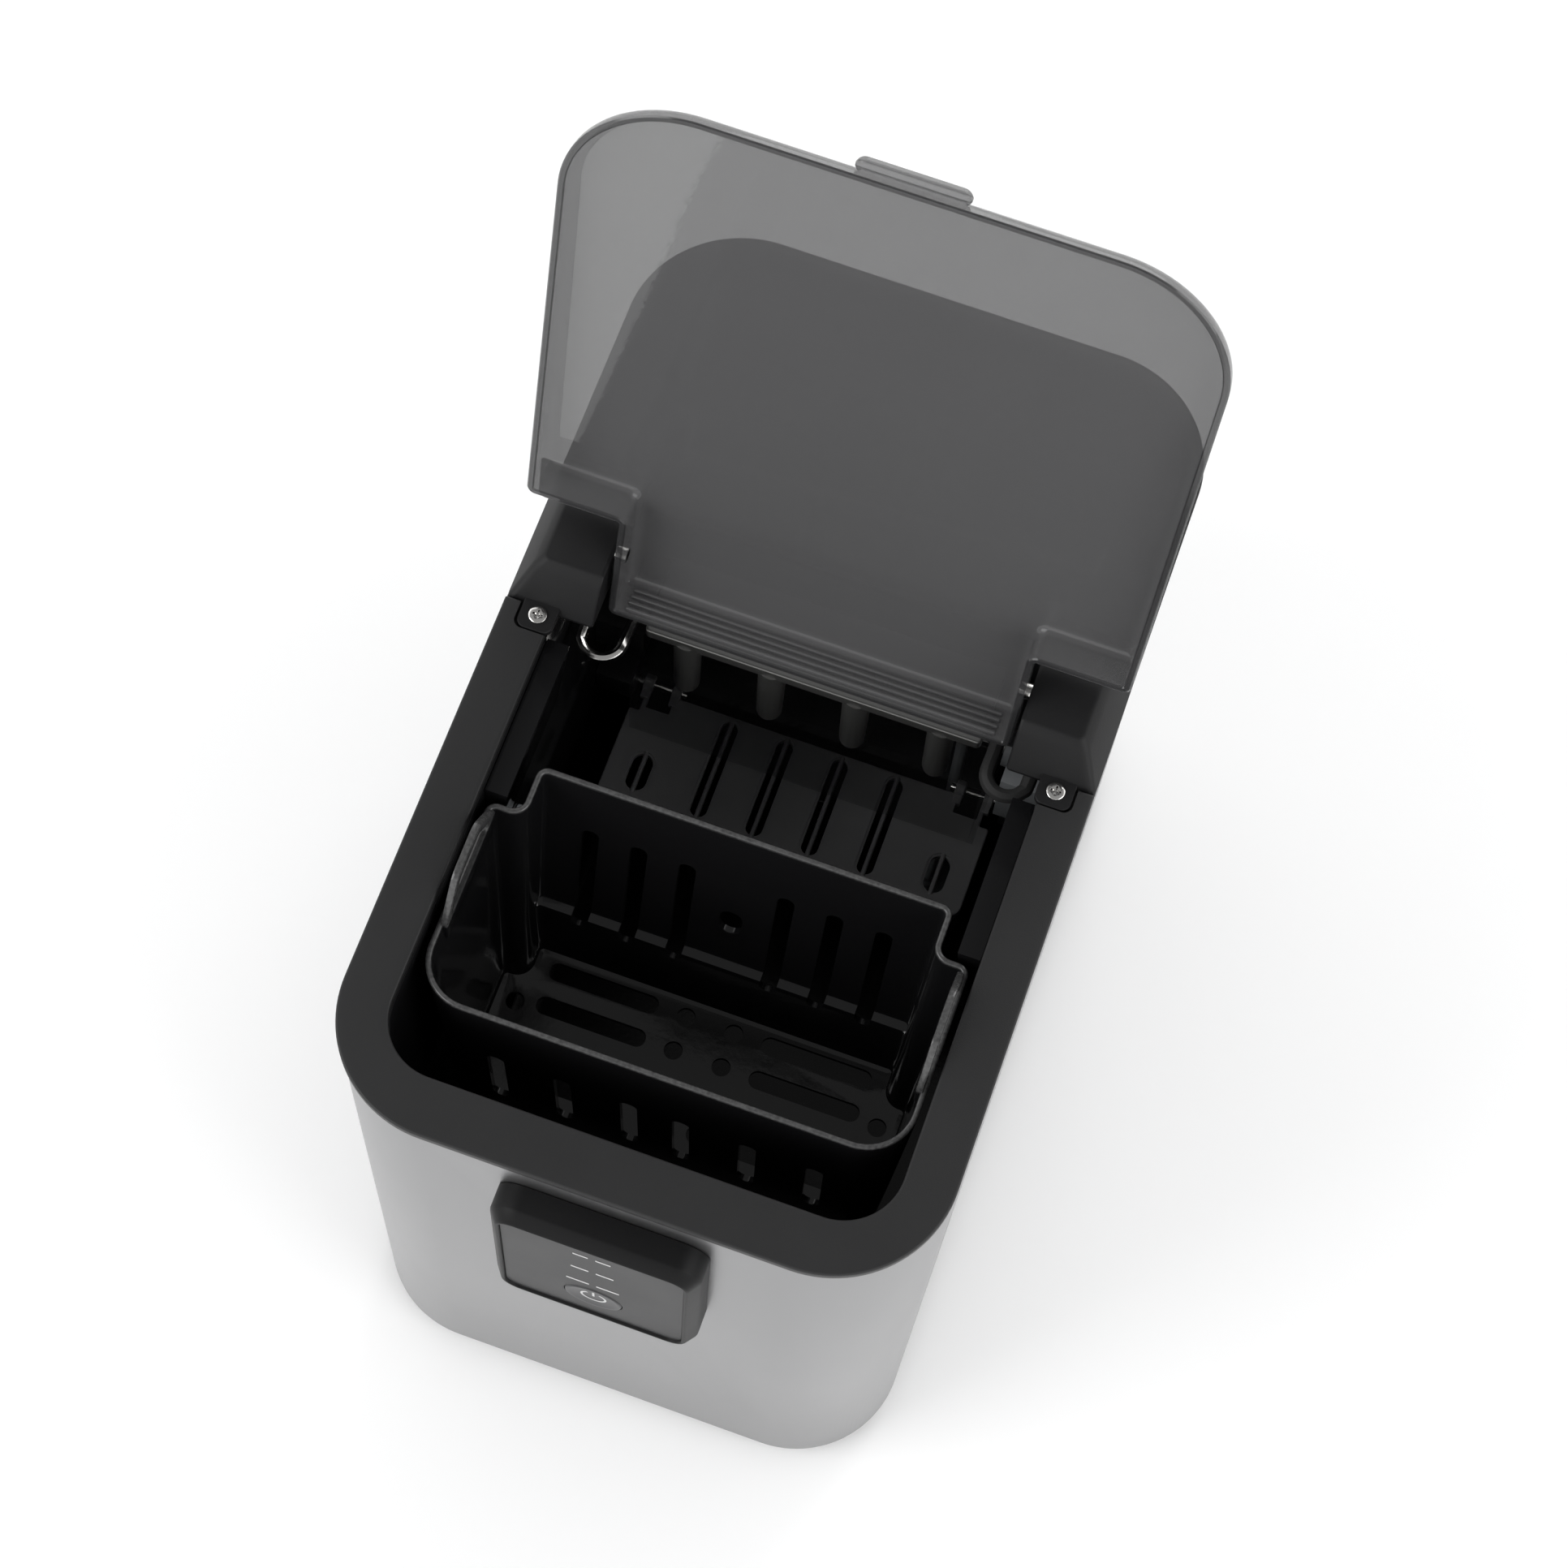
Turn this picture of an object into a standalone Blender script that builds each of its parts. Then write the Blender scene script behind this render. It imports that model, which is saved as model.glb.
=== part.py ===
"""Countertop ice maker with its lid open: a steel wrapped body, a black top frame and liner, a lift-out
basket, the ice making mechanism behind it and the cooling circuit in the rear compartment.

Metres, +Z up. The front faces -Y. The origin is the middle of the footprint, on the surface it stands on.
"""
import math

import bmesh
import bpy
from mathutils import Matrix, Vector

# Driving dimensions of the body
BODY_WIDTH = 0.224
BODY_DEPTH = 0.373
BODY_HEIGHT = 0.300
FOOT_HEIGHT = 0.008
CORNER_RADIUS = 0.045
MODULE_PROUD = 0.013
REAR_PROUD = 0.006
GAP = 0.0003

# Frame and rear cover
FRAME_THICK = 0.006
FLANGE_SIDE = 0.0187
FLANGE_FRONT = 0.0207
OPENING_RADIUS = 0.022
COVER_DEPTH = 0.122
BLOCK_REACH = 0.0517
BLOCK_HEIGHT = 0.014
BLOCK_WIDTH = 0.0333
BLOCK_TAPER = 0.009
TAB_WIDTH = 0.0135
TAB_REACH = 0.0098
TAB_THICK = 0.0025
SCREW_INSET = 0.0136
SCREW_HEAD_RADIUS = 0.0034
SCREW_SHANK_RADIUS = 0.0013

# Steel and rear sheet
WRAP_INSET = 0.001
SHEET = 0.0012
PANEL_THICK = 0.0022

# Liner
LINER_WALL = 0.0022
LINER_FLOOR = 0.030
PUMP_X = 0.055
PUMP_BACK = 0.236
LINER_REAR = 0.1075
FOAM_GAP = 0.001

# Lid
PIVOT_FROM_REAR = 0.1484
PIVOT_RISE = 0.010
PIN_RADIUS = 0.003
PIN_LENGTH = 0.0145
LID_ANGLE = 104.7
LID_WALL = 0.0025
LID_REST_GAP = 0.0006
LID_FRONT_RISE = 0.008
LID_REAR_RISE = 0.020
LID_OVERHANG = 0.0086
LID_SKIRT_END = 0.0276
TONGUE_REACH = 0.0234
TONGUE_SIDE_GAP = 0.0017
LID_TAB_WIDTH = 0.037
LID_TAB_REACH = 0.005

# Basket
BASKET_FRONT = 0.0495
BASKET_REAR = 0.1450
BASKET_SHOULDER = 0.1260
BASKET_SIDE_GAP = 0.0040
BASKET_NECK = 0.0120
BASKET_RADIUS = 0.018
BASKET_JOG_RADIUS = 0.005
BASKET_WALL = 0.0022
BASKET_FLOOR_DROP = 0.142
BASKET_RIM_DROP = 0.009
HANDLE_RISE = 0.018
HANDLE_WALL = 0.0055
HANDLE_FRONT = 0.0760
HANDLE_REAR = 0.1225
BASKET_LIFT = 0.27

# Control module
MODULE_WIDTH = 0.078
MODULE_HEIGHT = 0.097
MODULE_DROP = 0.020
MODULE_RADIUS = 0.011
MODULE_WALL = 0.003
FASCIA_THICK = 0.0015
FASCIA_RECESS = 0.0010
BUTTON_RADIUS = 0.0110
BUTTON_DROP = 0.090
BUTTON_DEPTH = 0.0040
BUTTON_TRAVEL = 0.0012
BOARD_THICK = 0.0016
LED_PITCH = 0.0185
LED_DROP = 0.035

# Ice making mechanism, placed from the front face and from the top of the frame
FINGER_BACK = 0.224
FINGER_PITCH = 0.0335
FINGER_COUNT = 4
FINGER_RADIUS = 0.0050
FINGER_TIP_DROP = 0.085
PLATE_DROP = 0.048
PLATE_THICK = 0.010
TRAY_AXIS_BACK = 0.247
TRAY_AXIS_DROP = 0.097
TRAY_HALF = 0.072
TRAY_MOUTH = 0.028
TRAY_LIP = 0.0185
TRAY_SHAFT_END = 0.006
TRAY_KEEL = 0.006
TRAY_HEIGHT = 0.038
TRAY_WALL = 0.002
TRAY_SWING = 85.0
SHOVEL_AXIS_BACK = 0.243
SHOVEL_AXIS_DROP = 0.143
SHOVEL_REACH = 0.053
SHOVEL_HALF = 0.076
SHOVEL_THICK = 0.0025
SHOVEL_SWING = 34.0
ROD_RADIUS = 0.0018
SHAFT_RADIUS = 0.0030

# Rear compartment, placed from the rear face
COMPRESSOR_RADIUS = 0.046
COMPRESSOR_HEIGHT = 0.136
FAN_RADIUS = 0.033
FAN_BLADES = 5
CONDENSER_WIDTH = 0.074
CONDENSER_HEIGHT = 0.150
CONDENSER_BASE = 0.003
CONDENSER_RIGHT = 0.082
COMPRESSOR_X = -0.057
TUBE_RADIUS = 0.0022
TUBE_INSET = 0.006

# Openings in the enclosure
VENT_COUNT = 6
VENT_PITCH = 0.011
VENT_FROM_REAR = 0.052
GLAND_X = -0.048
GLAND_RISE = 0.036
GLAND_NECK = 0.0060
DRAIN_X = -0.001
DRAIN_RISE = 0.0095
DRAIN_RADIUS = 0.0058
DRAIN_BORE = 0.0040
DRAIN_CAP_TRAVEL = 0.030

# Worked out from the values above
HALF = BODY_WIDTH / 2
FRONT = -(BODY_DEPTH + MODULE_PROUD + REAR_PROUD) / 2 + MODULE_PROUD
REAR = FRONT + BODY_DEPTH
TOP = FOOT_HEIGHT + BODY_HEIGHT
OPENING_HALF = HALF - FLANGE_SIDE
WRAP_HALF = HALF - WRAP_INSET
INNER_HALF = WRAP_HALF - SHEET
COVER_FRONT = REAR - COVER_DEPTH
BLOCK_FRONT = COVER_FRONT - BLOCK_REACH
BLOCK_INNER = HALF - BLOCK_WIDTH
PIVOT_Y = REAR - PIVOT_FROM_REAR
PIVOT_Z = TOP + PIVOT_RISE
SCREW_X = HALF - SCREW_INSET
SCREW_Y = BLOCK_FRONT - TAB_REACH / 2 + 0.0013
UNDER_FRAME = TOP - FRAME_THICK
LINER_HALF = OPENING_HALF + LINER_WALL
LINER_BACK = REAR - LINER_REAR
BASKET_HALF = OPENING_HALF - BASKET_SIDE_GAP
TONGUE_HALF = BLOCK_INNER - TONGUE_SIDE_GAP
PANEL_HALF = HALF - CORNER_RADIUS
DRAIN_Z = FOOT_HEIGHT + LINER_FLOOR + DRAIN_RISE
GLAND_Z = FOOT_HEIGHT + GLAND_RISE
TUBE_EXIT = OPENING_HALF - TUBE_INSET


def back(distance):
    """Y of a place this far behind the front face."""
    return FRONT + distance


def below(distance):
    """Z of a place this far below the top of the frame."""
    return TOP - distance


# Materials

def material(name, colour, roughness, metallic=0.0, alpha=1.0):
    made = bpy.data.materials.get(name)
    if made is None:
        made = bpy.data.materials.new(name)
        made.use_nodes = True
        shader = made.node_tree.nodes["Principled BSDF"]
        shader.inputs["Base Color"].default_value = (*colour, 1.0)
        shader.inputs["Roughness"].default_value = roughness
        shader.inputs["Metallic"].default_value = metallic
        shader.inputs["Alpha"].default_value = alpha
    return made


FINISHES = {
    "brushed_steel": ((0.60, 0.60, 0.61), 0.35, 1.0),
    "frame_black": ((0.030, 0.030, 0.032), 0.55),
    "liner_black": ((0.010, 0.010, 0.011), 0.25),
    "basket_black": ((0.014, 0.014, 0.015), 0.28),
    "shovel_black": ((0.030, 0.030, 0.030), 0.45),
    "smoked_clear": ((0.22, 0.22, 0.23), 0.08, 0.0, 0.35),
    "fascia_grey": ((0.075, 0.075, 0.078), 0.40),
    "bright_metal": ((0.75, 0.75, 0.74), 0.18, 1.0),
    "copper_tube": ((0.72, 0.40, 0.26), 0.30, 1.0),
    "fin_metal": ((0.70, 0.71, 0.72), 0.40, 1.0),
    "compressor_black": ((0.020, 0.020, 0.020), 0.35),
    "board_green": ((0.03, 0.16, 0.07), 0.50),
    "foam_white": ((0.80, 0.80, 0.76), 0.90),
    "rubber_black": ((0.025, 0.025, 0.025), 0.80),
    "motor_grey": ((0.28, 0.29, 0.30), 0.50),
    "hose_clear": ((0.72, 0.74, 0.76), 0.30),
    "lamp_white": ((0.85, 0.86, 0.88), 0.30),
}


# Mesh helpers

def finish(name, mesh, finish_name, sharp=30.0):
    """A finished object from a bmesh: outward faces, smooth round stretches, its own material."""
    bmesh.ops.recalc_face_normals(mesh, faces=mesh.faces)
    data = bpy.data.meshes.new(name)
    mesh.to_mesh(data)
    mesh.free()
    data.shade_smooth()
    data.set_sharp_from_angle(angle=math.radians(sharp))
    made = bpy.data.objects.new(name, data)
    bpy.context.scene.collection.objects.link(made)
    data.materials.append(material(finish_name, *FINISHES[finish_name]))
    return made


def helper(mesh, name="cutter"):
    """A shape that only cuts or joins another, and is never rendered."""
    made = finish(name, mesh, "motor_grey")
    made.hide_render = True
    made.display_type = "WIRE"
    return made


def combine(target, shapes, operation):
    for shape in shapes:
        modifier = target.modifiers.new(operation.lower(), "BOOLEAN")
        modifier.operation = operation
        modifier.solver = "EXACT"
        modifier.object = shape if isinstance(shape, bpy.types.Object) else helper(shape)
    return target


def cut(target, *shapes):
    return combine(target, shapes, "DIFFERENCE")


def join(target, *shapes):
    return combine(target, shapes, "UNION")


def box(x0, x1, y0, y1, z0, z1):
    return hexahedron((x0, x1, y0, y1, z0), (x0, x1, y0, y1, z1))


def hexahedron(low, high):
    """A block between two level rectangles, each given as x0, x1, y0, y1, z."""
    mesh = bmesh.new()
    rings = []
    for x0, x1, y0, y1, z in (low, high):
        corners = ((x0, y0), (x1, y0), (x1, y1), (x0, y1))
        rings.append([mesh.verts.new((x, y, z)) for x, y in corners])
    stitch(mesh, rings)
    mesh.faces.new(rings[0][::-1])
    mesh.faces.new(rings[1])
    return mesh


def stitch(mesh, rings):
    """Faces between each closed ring of vertices and the next."""
    for low, high in zip(rings, rings[1:]):
        count = len(low)
        for i in range(count):
            j = (i + 1) % count
            mesh.faces.new((low[i], low[j], high[j], high[i]))


def arc(x, y, radius, start, end, steps):
    """Points on a circle, from one angle to another, in degrees."""
    points = []
    for i in range(steps + 1):
        angle = math.radians(start + (end - start) * i / steps)
        points.append((x + radius * math.cos(angle), y + radius * math.sin(angle)))
    return points


def rounded(x0, x1, y0, y1, front, rear, steps=6):
    """A rectangle with rounded corners, anticlockwise; front is at y0."""
    points = arc(x0 + front, y0 + front, front, 180, 270, steps)
    points += arc(x1 - front, y0 + front, front, 270, 360, steps)
    points += arc(x1 - rear, y1 - rear, rear, 0, 90, steps)
    points += arc(x0 + rear, y1 - rear, rear, 90, 180, steps)
    return points


def prism(outline, z0, z1):
    """An outline in plan, carried straight up."""
    mesh = bmesh.new()
    rings = [[mesh.verts.new((x, y, z)) for x, y in outline] for z in (z0, z1)]
    stitch(mesh, rings)
    mesh.faces.new(rings[0][::-1])
    mesh.faces.new(rings[1])
    return mesh


def cup(outer, inner, base, floor, rim):
    """A vessel: outline and inner outline with the same number of points, open at the top."""
    mesh = bmesh.new()
    rings = [
        [mesh.verts.new((x, y, z)) for x, y in outline]
        for outline, z in ((outer, base), (outer, rim), (inner, rim), (inner, floor))
    ]
    stitch(mesh, rings)
    mesh.faces.new(rings[0][::-1])
    mesh.faces.new(rings[3])
    return mesh


def ring(outer, inner, z0, z1):
    """A band between two outlines with the same number of points, open right through."""
    mesh = bmesh.new()
    rings = [
        [mesh.verts.new((x, y, z)) for x, y in outline]
        for outline, z in ((outer, z0), (outer, z1), (inner, z1), (inner, z0))
    ]
    stitch(mesh, rings + rings[:1])
    return mesh


def turned(profile, centre, axis="Z", steps=24):
    """A solid of revolution: (radius, height) pairs from one end to the other, both ends closed."""
    mesh = bmesh.new()
    rings = []
    for radius, height in profile:
        angles = (2 * math.pi * i / steps for i in range(steps))
        rings.append([mesh.verts.new((radius * math.cos(a), radius * math.sin(a), height)) for a in angles])
    stitch(mesh, rings)
    mesh.faces.new(rings[0][::-1])
    mesh.faces.new(rings[-1])
    turn = {
        "Z": Matrix.Identity(4),
        "X": Matrix.Rotation(math.pi / 2, 4, "Y"),
        "Y": Matrix.Rotation(-math.pi / 2, 4, "X"),
    }[axis]
    bmesh.ops.transform(mesh, matrix=Matrix.Translation(Vector(centre)) @ turn, verts=mesh.verts)
    return mesh


def rod(radius, start, length, axis="Z", steps=16):
    """A round bar from its start point along the axis."""
    return turned(((radius, 0.0), (radius, length)), start, axis, steps)


def moved(mesh, matrix):
    bmesh.ops.transform(mesh, matrix=matrix, verts=mesh.verts)
    return mesh


def upright(mesh):
    """Turns a shape drawn in plan so that its plan X, Y become X, Z and its height runs to the rear."""
    return moved(mesh, Matrix(((1, 0, 0, 0), (0, 0, 1, 0), (0, 1, 0, 0), (0, 0, 0, 1))))


def sideways(mesh):
    """Turns a shape drawn in plan so that its plan X, Y become Y, Z and its height runs along X."""
    return moved(mesh, Matrix(((0, 0, 1, 0), (1, 0, 0, 0), (0, 1, 0, 0), (0, 0, 0, 1))))


def merged(meshes):
    """Several closed shapes, clear of each other, in one cutter."""
    whole = bmesh.new()
    for mesh in meshes:
        data = bpy.data.meshes.new("part")
        mesh.to_mesh(data)
        mesh.free()
        whole.from_mesh(data)
        bpy.data.meshes.remove(data)
    return whole


def smooth_path(points, turns=6):
    """A smooth curve through the points, as a Catmull-Rom chain."""
    padded = [points[0], *points, points[-1]]
    path = []
    for p0, p1, p2, p3 in zip(padded, padded[1:], padded[2:], padded[3:]):
        for i in range(turns):
            t = i / turns
            path.append(tuple(
                0.5 * (2 * b + (c - a) * t + (2 * a - 5 * b + 4 * c - d) * t * t
                       + (3 * b - a - 3 * c + d) * t ** 3)
                for a, b, c, d in zip(p0, p1, p2, p3)
            ))
    path.append(points[-1])
    return path


def tube(name, points, radius, finish_name, turns=4):
    """A round tube along a smooth path, with closed ends."""
    curve = bpy.data.curves.new(name, "CURVE")
    curve.dimensions = "3D"
    curve.bevel_depth = radius
    curve.bevel_resolution = 2
    curve.use_fill_caps = True
    path = smooth_path(points, turns)
    spline = curve.splines.new("POLY")
    spline.points.add(len(path) - 1)
    for point, place in zip(spline.points, path):
        point.co = (*place, 1.0)
    made = bpy.data.objects.new(name, curve)
    bpy.context.scene.collection.objects.link(made)
    curve.materials.append(material(finish_name, *FINISHES[finish_name]))
    return made


def hung(objects, name, place):
    """Parents pieces, and what cuts or joins them, to an empty that stands on their joint's axis."""
    holder = bpy.data.objects.new(name, None)
    holder.empty_display_size = 0.02
    bpy.context.scene.collection.objects.link(holder)
    holder.location = place
    carried = list(objects)
    for piece in objects:
        carried += [m.object for m in piece.modifiers if m.type == "BOOLEAN"]
    for piece in carried:
        piece.parent = holder
        piece.matrix_parent_inverse = Matrix.Translation(-Vector(place))
    return holder


# Enclosure

def body_outline(inset, rear_inset):
    """The body in plan, with its four rounded corners."""
    front = CORNER_RADIUS - inset
    rear = CORNER_RADIUS - rear_inset
    return rounded(-HALF + inset, HALF - inset, FRONT + inset, REAR - rear_inset, front, rear)


def feet():
    reach_x = HALF - 0.030
    profile = ((0.0085, 0.0), (0.0100, 0.0012), (0.0110, FOOT_HEIGHT - GAP))
    for side, x in (("left", -reach_x), ("right", reach_x)):
        for end, y in (("front", FRONT + 0.042), ("rear", REAR - 0.030)):
            finish(f"foot_{end}_{side}", turned(profile, (x, y, 0.0), steps=20), "rubber_black")


def base_pan():
    inset = WRAP_INSET + SHEET + GAP
    wall = 0.002
    outer = body_outline(inset, WRAP_INSET + PANEL_THICK + 2 * GAP)
    inner = body_outline(inset + wall, WRAP_INSET + PANEL_THICK + 2 * GAP + wall)
    floor = FOOT_HEIGHT + 0.0025
    finish("base_pan", cup(outer, inner, FOOT_HEIGHT, floor, FOOT_HEIGHT + 0.014), "motor_grey")


def wrapper_shell():
    """One sheet bent round the front, the sides and all four corners; the rear panel fills its gap."""
    steps = 10
    loops = []
    for inset in (WRAP_INSET, WRAP_INSET + SHEET):
        radius = CORNER_RADIUS - inset
        x = HALF - CORNER_RADIUS
        y0 = FRONT + CORNER_RADIUS
        y1 = REAR - CORNER_RADIUS
        loop = [(-PANEL_HALF, REAR - inset)]
        loop += arc(-x, y1, radius, 90, 180, steps)
        loop += arc(-x, y0, radius, 180, 270, steps)
        loop += arc(x, y0, radius, 270, 360, steps)
        loop += arc(x, y1, radius, 0, 90, steps)
        loops.append(loop + [(PANEL_HALF, REAR - inset)])
    outline = loops[0] + loops[1][::-1]
    shell = finish("wrapper_shell", prism(outline, FOOT_HEIGHT, UNDER_FRAME - GAP), "brushed_steel")
    slots = []
    for row in range(2):
        for column in range(VENT_COUNT):
            y = REAR - VENT_FROM_REAR - VENT_PITCH * column
            z = FOOT_HEIGHT + 0.060 + 0.062 * row
            slots.append(box(-HALF - 0.01, HALF + 0.01, y - 0.0022, y + 0.0022, z, z + 0.050))
    window = box(-0.020, 0.020, FRONT - 0.01, FRONT + 0.01, below(0.085), below(0.045))
    return cut(shell, merged(slots), window)


def rear_panel():
    y1 = REAR - WRAP_INSET
    y0 = y1 - PANEL_THICK
    reach = PANEL_HALF - GAP
    panel = finish(
        "rear_panel",
        box(-reach, reach, y0, y1, FOOT_HEIGHT + GAP, UNDER_FRAME - GAP),
        "motor_grey",
    )
    slots = []
    for row in range(10):
        z = FOOT_HEIGHT + 0.064 + 0.010 * row
        slots.append(box(0.008, 0.056, y0 - 0.01, y1 + 0.01, z, z + 0.005))
    for row in range(4):
        z = FOOT_HEIGHT + 0.215 + 0.010 * row
        slots.append(box(-0.050, 0.050, y0 - 0.01, y1 + 0.01, z, z + 0.004))
    gland = rod(GLAND_NECK + GAP, (GLAND_X, y0 - 0.01, GLAND_Z), 0.03, "Y")
    drain = rod(DRAIN_RADIUS + GAP, (DRAIN_X, y0 - 0.01, DRAIN_Z), 0.03, "Y")
    return cut(panel, merged(slots), gland, drain)


def cord_gland():
    """A ring in the rear panel that the mains lead would pass through."""
    face = REAR - WRAP_INSET + GAP
    outer = [(GLAND_X + x, GLAND_Z + z) for x, z in arc(0, 0, 0.0095, 0, 345, 23)]
    inner = [(GLAND_X + x, GLAND_Z + z) for x, z in arc(0, 0, 0.0036, 0, 345, 23)]
    neck = [(GLAND_X + x, GLAND_Z + z) for x, z in arc(0, 0, GLAND_NECK, 0, 345, 23)]
    mesh = bmesh.new()
    places = (
        (neck, face - PANEL_THICK - 2 * GAP), (neck, face), (outer, face), (outer, face + 0.0030),
        (inner, face + 0.0042), (inner, face - PANEL_THICK - 2 * GAP),
    )
    rings = [[mesh.verts.new((x, y, z)) for x, z in outline] for outline, y in places]
    stitch(mesh, rings + rings[:1])
    finish("cord_gland", mesh, "rubber_black")


def drain_parts():
    """The drain spout through the rear panel and the cap that pulls off it."""
    face = REAR - WRAP_INSET
    start = LINER_BACK + GAP
    end = face + 0.0022
    outer = arc(0, 0, DRAIN_RADIUS, 0, 345, 23)
    inner = arc(0, 0, DRAIN_BORE, 0, 345, 23)
    spout = upright(ring(outer, inner, 0.0, end - start))
    moved(spout, Matrix.Translation((DRAIN_X, start, DRAIN_Z)))
    finish("drain_tube", spout, "hose_clear")
    start = end + GAP
    profile = (
        (DRAIN_BORE - GAP, -0.0100), (DRAIN_BORE - GAP, 0.0), (0.0090, 0.0),
        (0.0090, 0.0035), (0.0078, REAR + REAR_PROUD - start),
    )
    return finish("drain_cap", turned(profile, (DRAIN_X, start, DRAIN_Z), "Y"), "rubber_black")


def top_frame():
    """A flat U around the opening. The rear cover closes it."""
    end = BLOCK_FRONT - GAP
    outer_radius = CORNER_RADIUS
    front = FRONT
    inner_front = back(FLANGE_FRONT)
    steps = 10
    outline = [(-HALF, end)]
    outline += arc(-HALF + outer_radius, front + outer_radius, outer_radius, 180, 270, steps)
    outline += arc(HALF - outer_radius, front + outer_radius, outer_radius, 270, 360, steps)
    outline += [(HALF, end), (OPENING_HALF, end)]
    outline += arc(OPENING_HALF - OPENING_RADIUS, inner_front + OPENING_RADIUS, OPENING_RADIUS, 360, 270, 8)
    outline += arc(-OPENING_HALF + OPENING_RADIUS, inner_front + OPENING_RADIUS, OPENING_RADIUS, 270, 180, 8)
    outline += [(-OPENING_HALF, end)]
    frame = finish("top_frame", prism(outline, UNDER_FRAME, TOP), "frame_black")
    clearance = 0.0008
    cutters = []
    for side in (-1, 1):
        x0 = SCREW_X - TAB_WIDTH / 2 - clearance
        x1 = SCREW_X + TAB_WIDTH / 2 + clearance
        y0 = BLOCK_FRONT - TAB_REACH - clearance
        floor = TOP - 0.0005 - TAB_THICK - GAP
        pocket = rounded(x0, x1, y0, BLOCK_FRONT + 0.01, 0.003, 0.001, 4)
        if side < 0:
            pocket = [(-x, y) for x, y in pocket][::-1]
        cutters.append(prism(pocket, floor, TOP + 0.01))
        shank = SCREW_SHANK_RADIUS + GAP
        cutters.append(rod(shank, (side * SCREW_X, SCREW_Y, UNDER_FRAME - 0.01), 0.014, steps=10))
    return cut(frame, *cutters)


def rear_cover():
    """The rear top with the two raised hinge blocks and their screw tabs."""
    front = BLOCK_FRONT
    radius = CORNER_RADIUS
    steps = 8
    outline = [(-HALF, front), (-BLOCK_INNER, front), (-BLOCK_INNER, COVER_FRONT)]
    outline += [(BLOCK_INNER, COVER_FRONT), (BLOCK_INNER, front), (HALF, front)]
    outline += arc(HALF - radius, REAR - radius, radius, 0, 90, steps)
    outline += arc(-HALF + radius, REAR - radius, radius, 90, 180, steps)
    cover = finish("rear_cover", prism(outline, UNDER_FRAME, TOP), "frame_black")
    shapes = []
    holes = []
    for side in (-1, 1):
        foot = sorted((side * BLOCK_INNER, side * HALF))
        head = sorted((side * BLOCK_INNER, side * (HALF - BLOCK_TAPER)))
        low = (*foot, front, COVER_FRONT + 0.012, TOP - 0.003)
        high = (*head, front + 0.0105, COVER_FRONT - 0.004, TOP + BLOCK_HEIGHT)
        shapes.append(hexahedron(low, high))
        tab = sorted((side * (SCREW_X - TAB_WIDTH / 2), side * (SCREW_X + TAB_WIDTH / 2)))
        tab_top = TOP - 0.0005
        tab_outline = rounded(*tab, front - TAB_REACH, front + 0.002, 0.0025, 0.0005, 4)
        shapes.append(prism(tab_outline, tab_top - TAB_THICK, tab_top))
        start = side * BLOCK_INNER - (0.01 if side > 0 else PIN_LENGTH - LID_WALL - TONGUE_SIDE_GAP + GAP)
        length = PIN_LENGTH - LID_WALL - TONGUE_SIDE_GAP + GAP + 0.01
        holes.append(rod(PIN_RADIUS + GAP, (start, PIVOT_Y, PIVOT_Z), length, "X"))
        shank = SCREW_SHANK_RADIUS + GAP
        holes.append(rod(shank, (side * SCREW_X, SCREW_Y, TOP - 0.02), 0.03, steps=10))
    join(cover, *shapes)
    return cut(cover, *holes)


def cover_screws():
    seat = TOP - 0.0005 + GAP
    for side, name in ((-1, "left"), (1, "right")):
        profile = (
            (SCREW_SHANK_RADIUS, -0.0062), (SCREW_SHANK_RADIUS, 0.0), (SCREW_HEAD_RADIUS, 0.0),
            (SCREW_HEAD_RADIUS, 0.0003), (SCREW_HEAD_RADIUS * 0.80, 0.00058),
        )
        place = (side * SCREW_X, SCREW_Y, seat)
        screw = finish(f"cover_screw_{name}", turned(profile, place, steps=20), "bright_metal")
        arm = 0.0019
        wide = 0.00035
        x, y, z = place
        across = box(x - arm, x + arm, y - wide, y + wide, z - 0.0002, z + 0.003)
        along = box(x - wide, x + wide, y - arm, y + arm, z - 0.0002, z + 0.003)
        cut(screw, across, along)


def lid_pins():
    for side, name in ((-1, "left"), (1, "right")):
        inner = TONGUE_HALF - LID_WALL
        start = inner if side > 0 else -inner - PIN_LENGTH
        finish(f"lid_pin_{name}", rod(PIN_RADIUS, (start, PIVOT_Y, PIVOT_Z), PIN_LENGTH, "X"), "bright_metal")


def lid_top(y, drop=0.0):
    """Height of the lid's outer face above the frame, closed: it rises evenly to the rear."""
    share = (y - FRONT) / (PIVOT_Y + TONGUE_REACH - FRONT)
    return TOP + LID_FRONT_RISE + (LID_REAR_RISE - LID_FRONT_RISE) * share - drop


def sloped(outline, z0, drop):
    """A prism from z0 up to the lid's sloping face, or the given drop below it."""
    mesh = bmesh.new()
    low = [mesh.verts.new((x, y, z0)) for x, y in outline]
    high = [mesh.verts.new((x, y, lid_top(y, drop))) for x, y in outline]
    stitch(mesh, [low, high])
    mesh.faces.new(low[::-1])
    mesh.faces.new(high)
    return mesh


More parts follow.
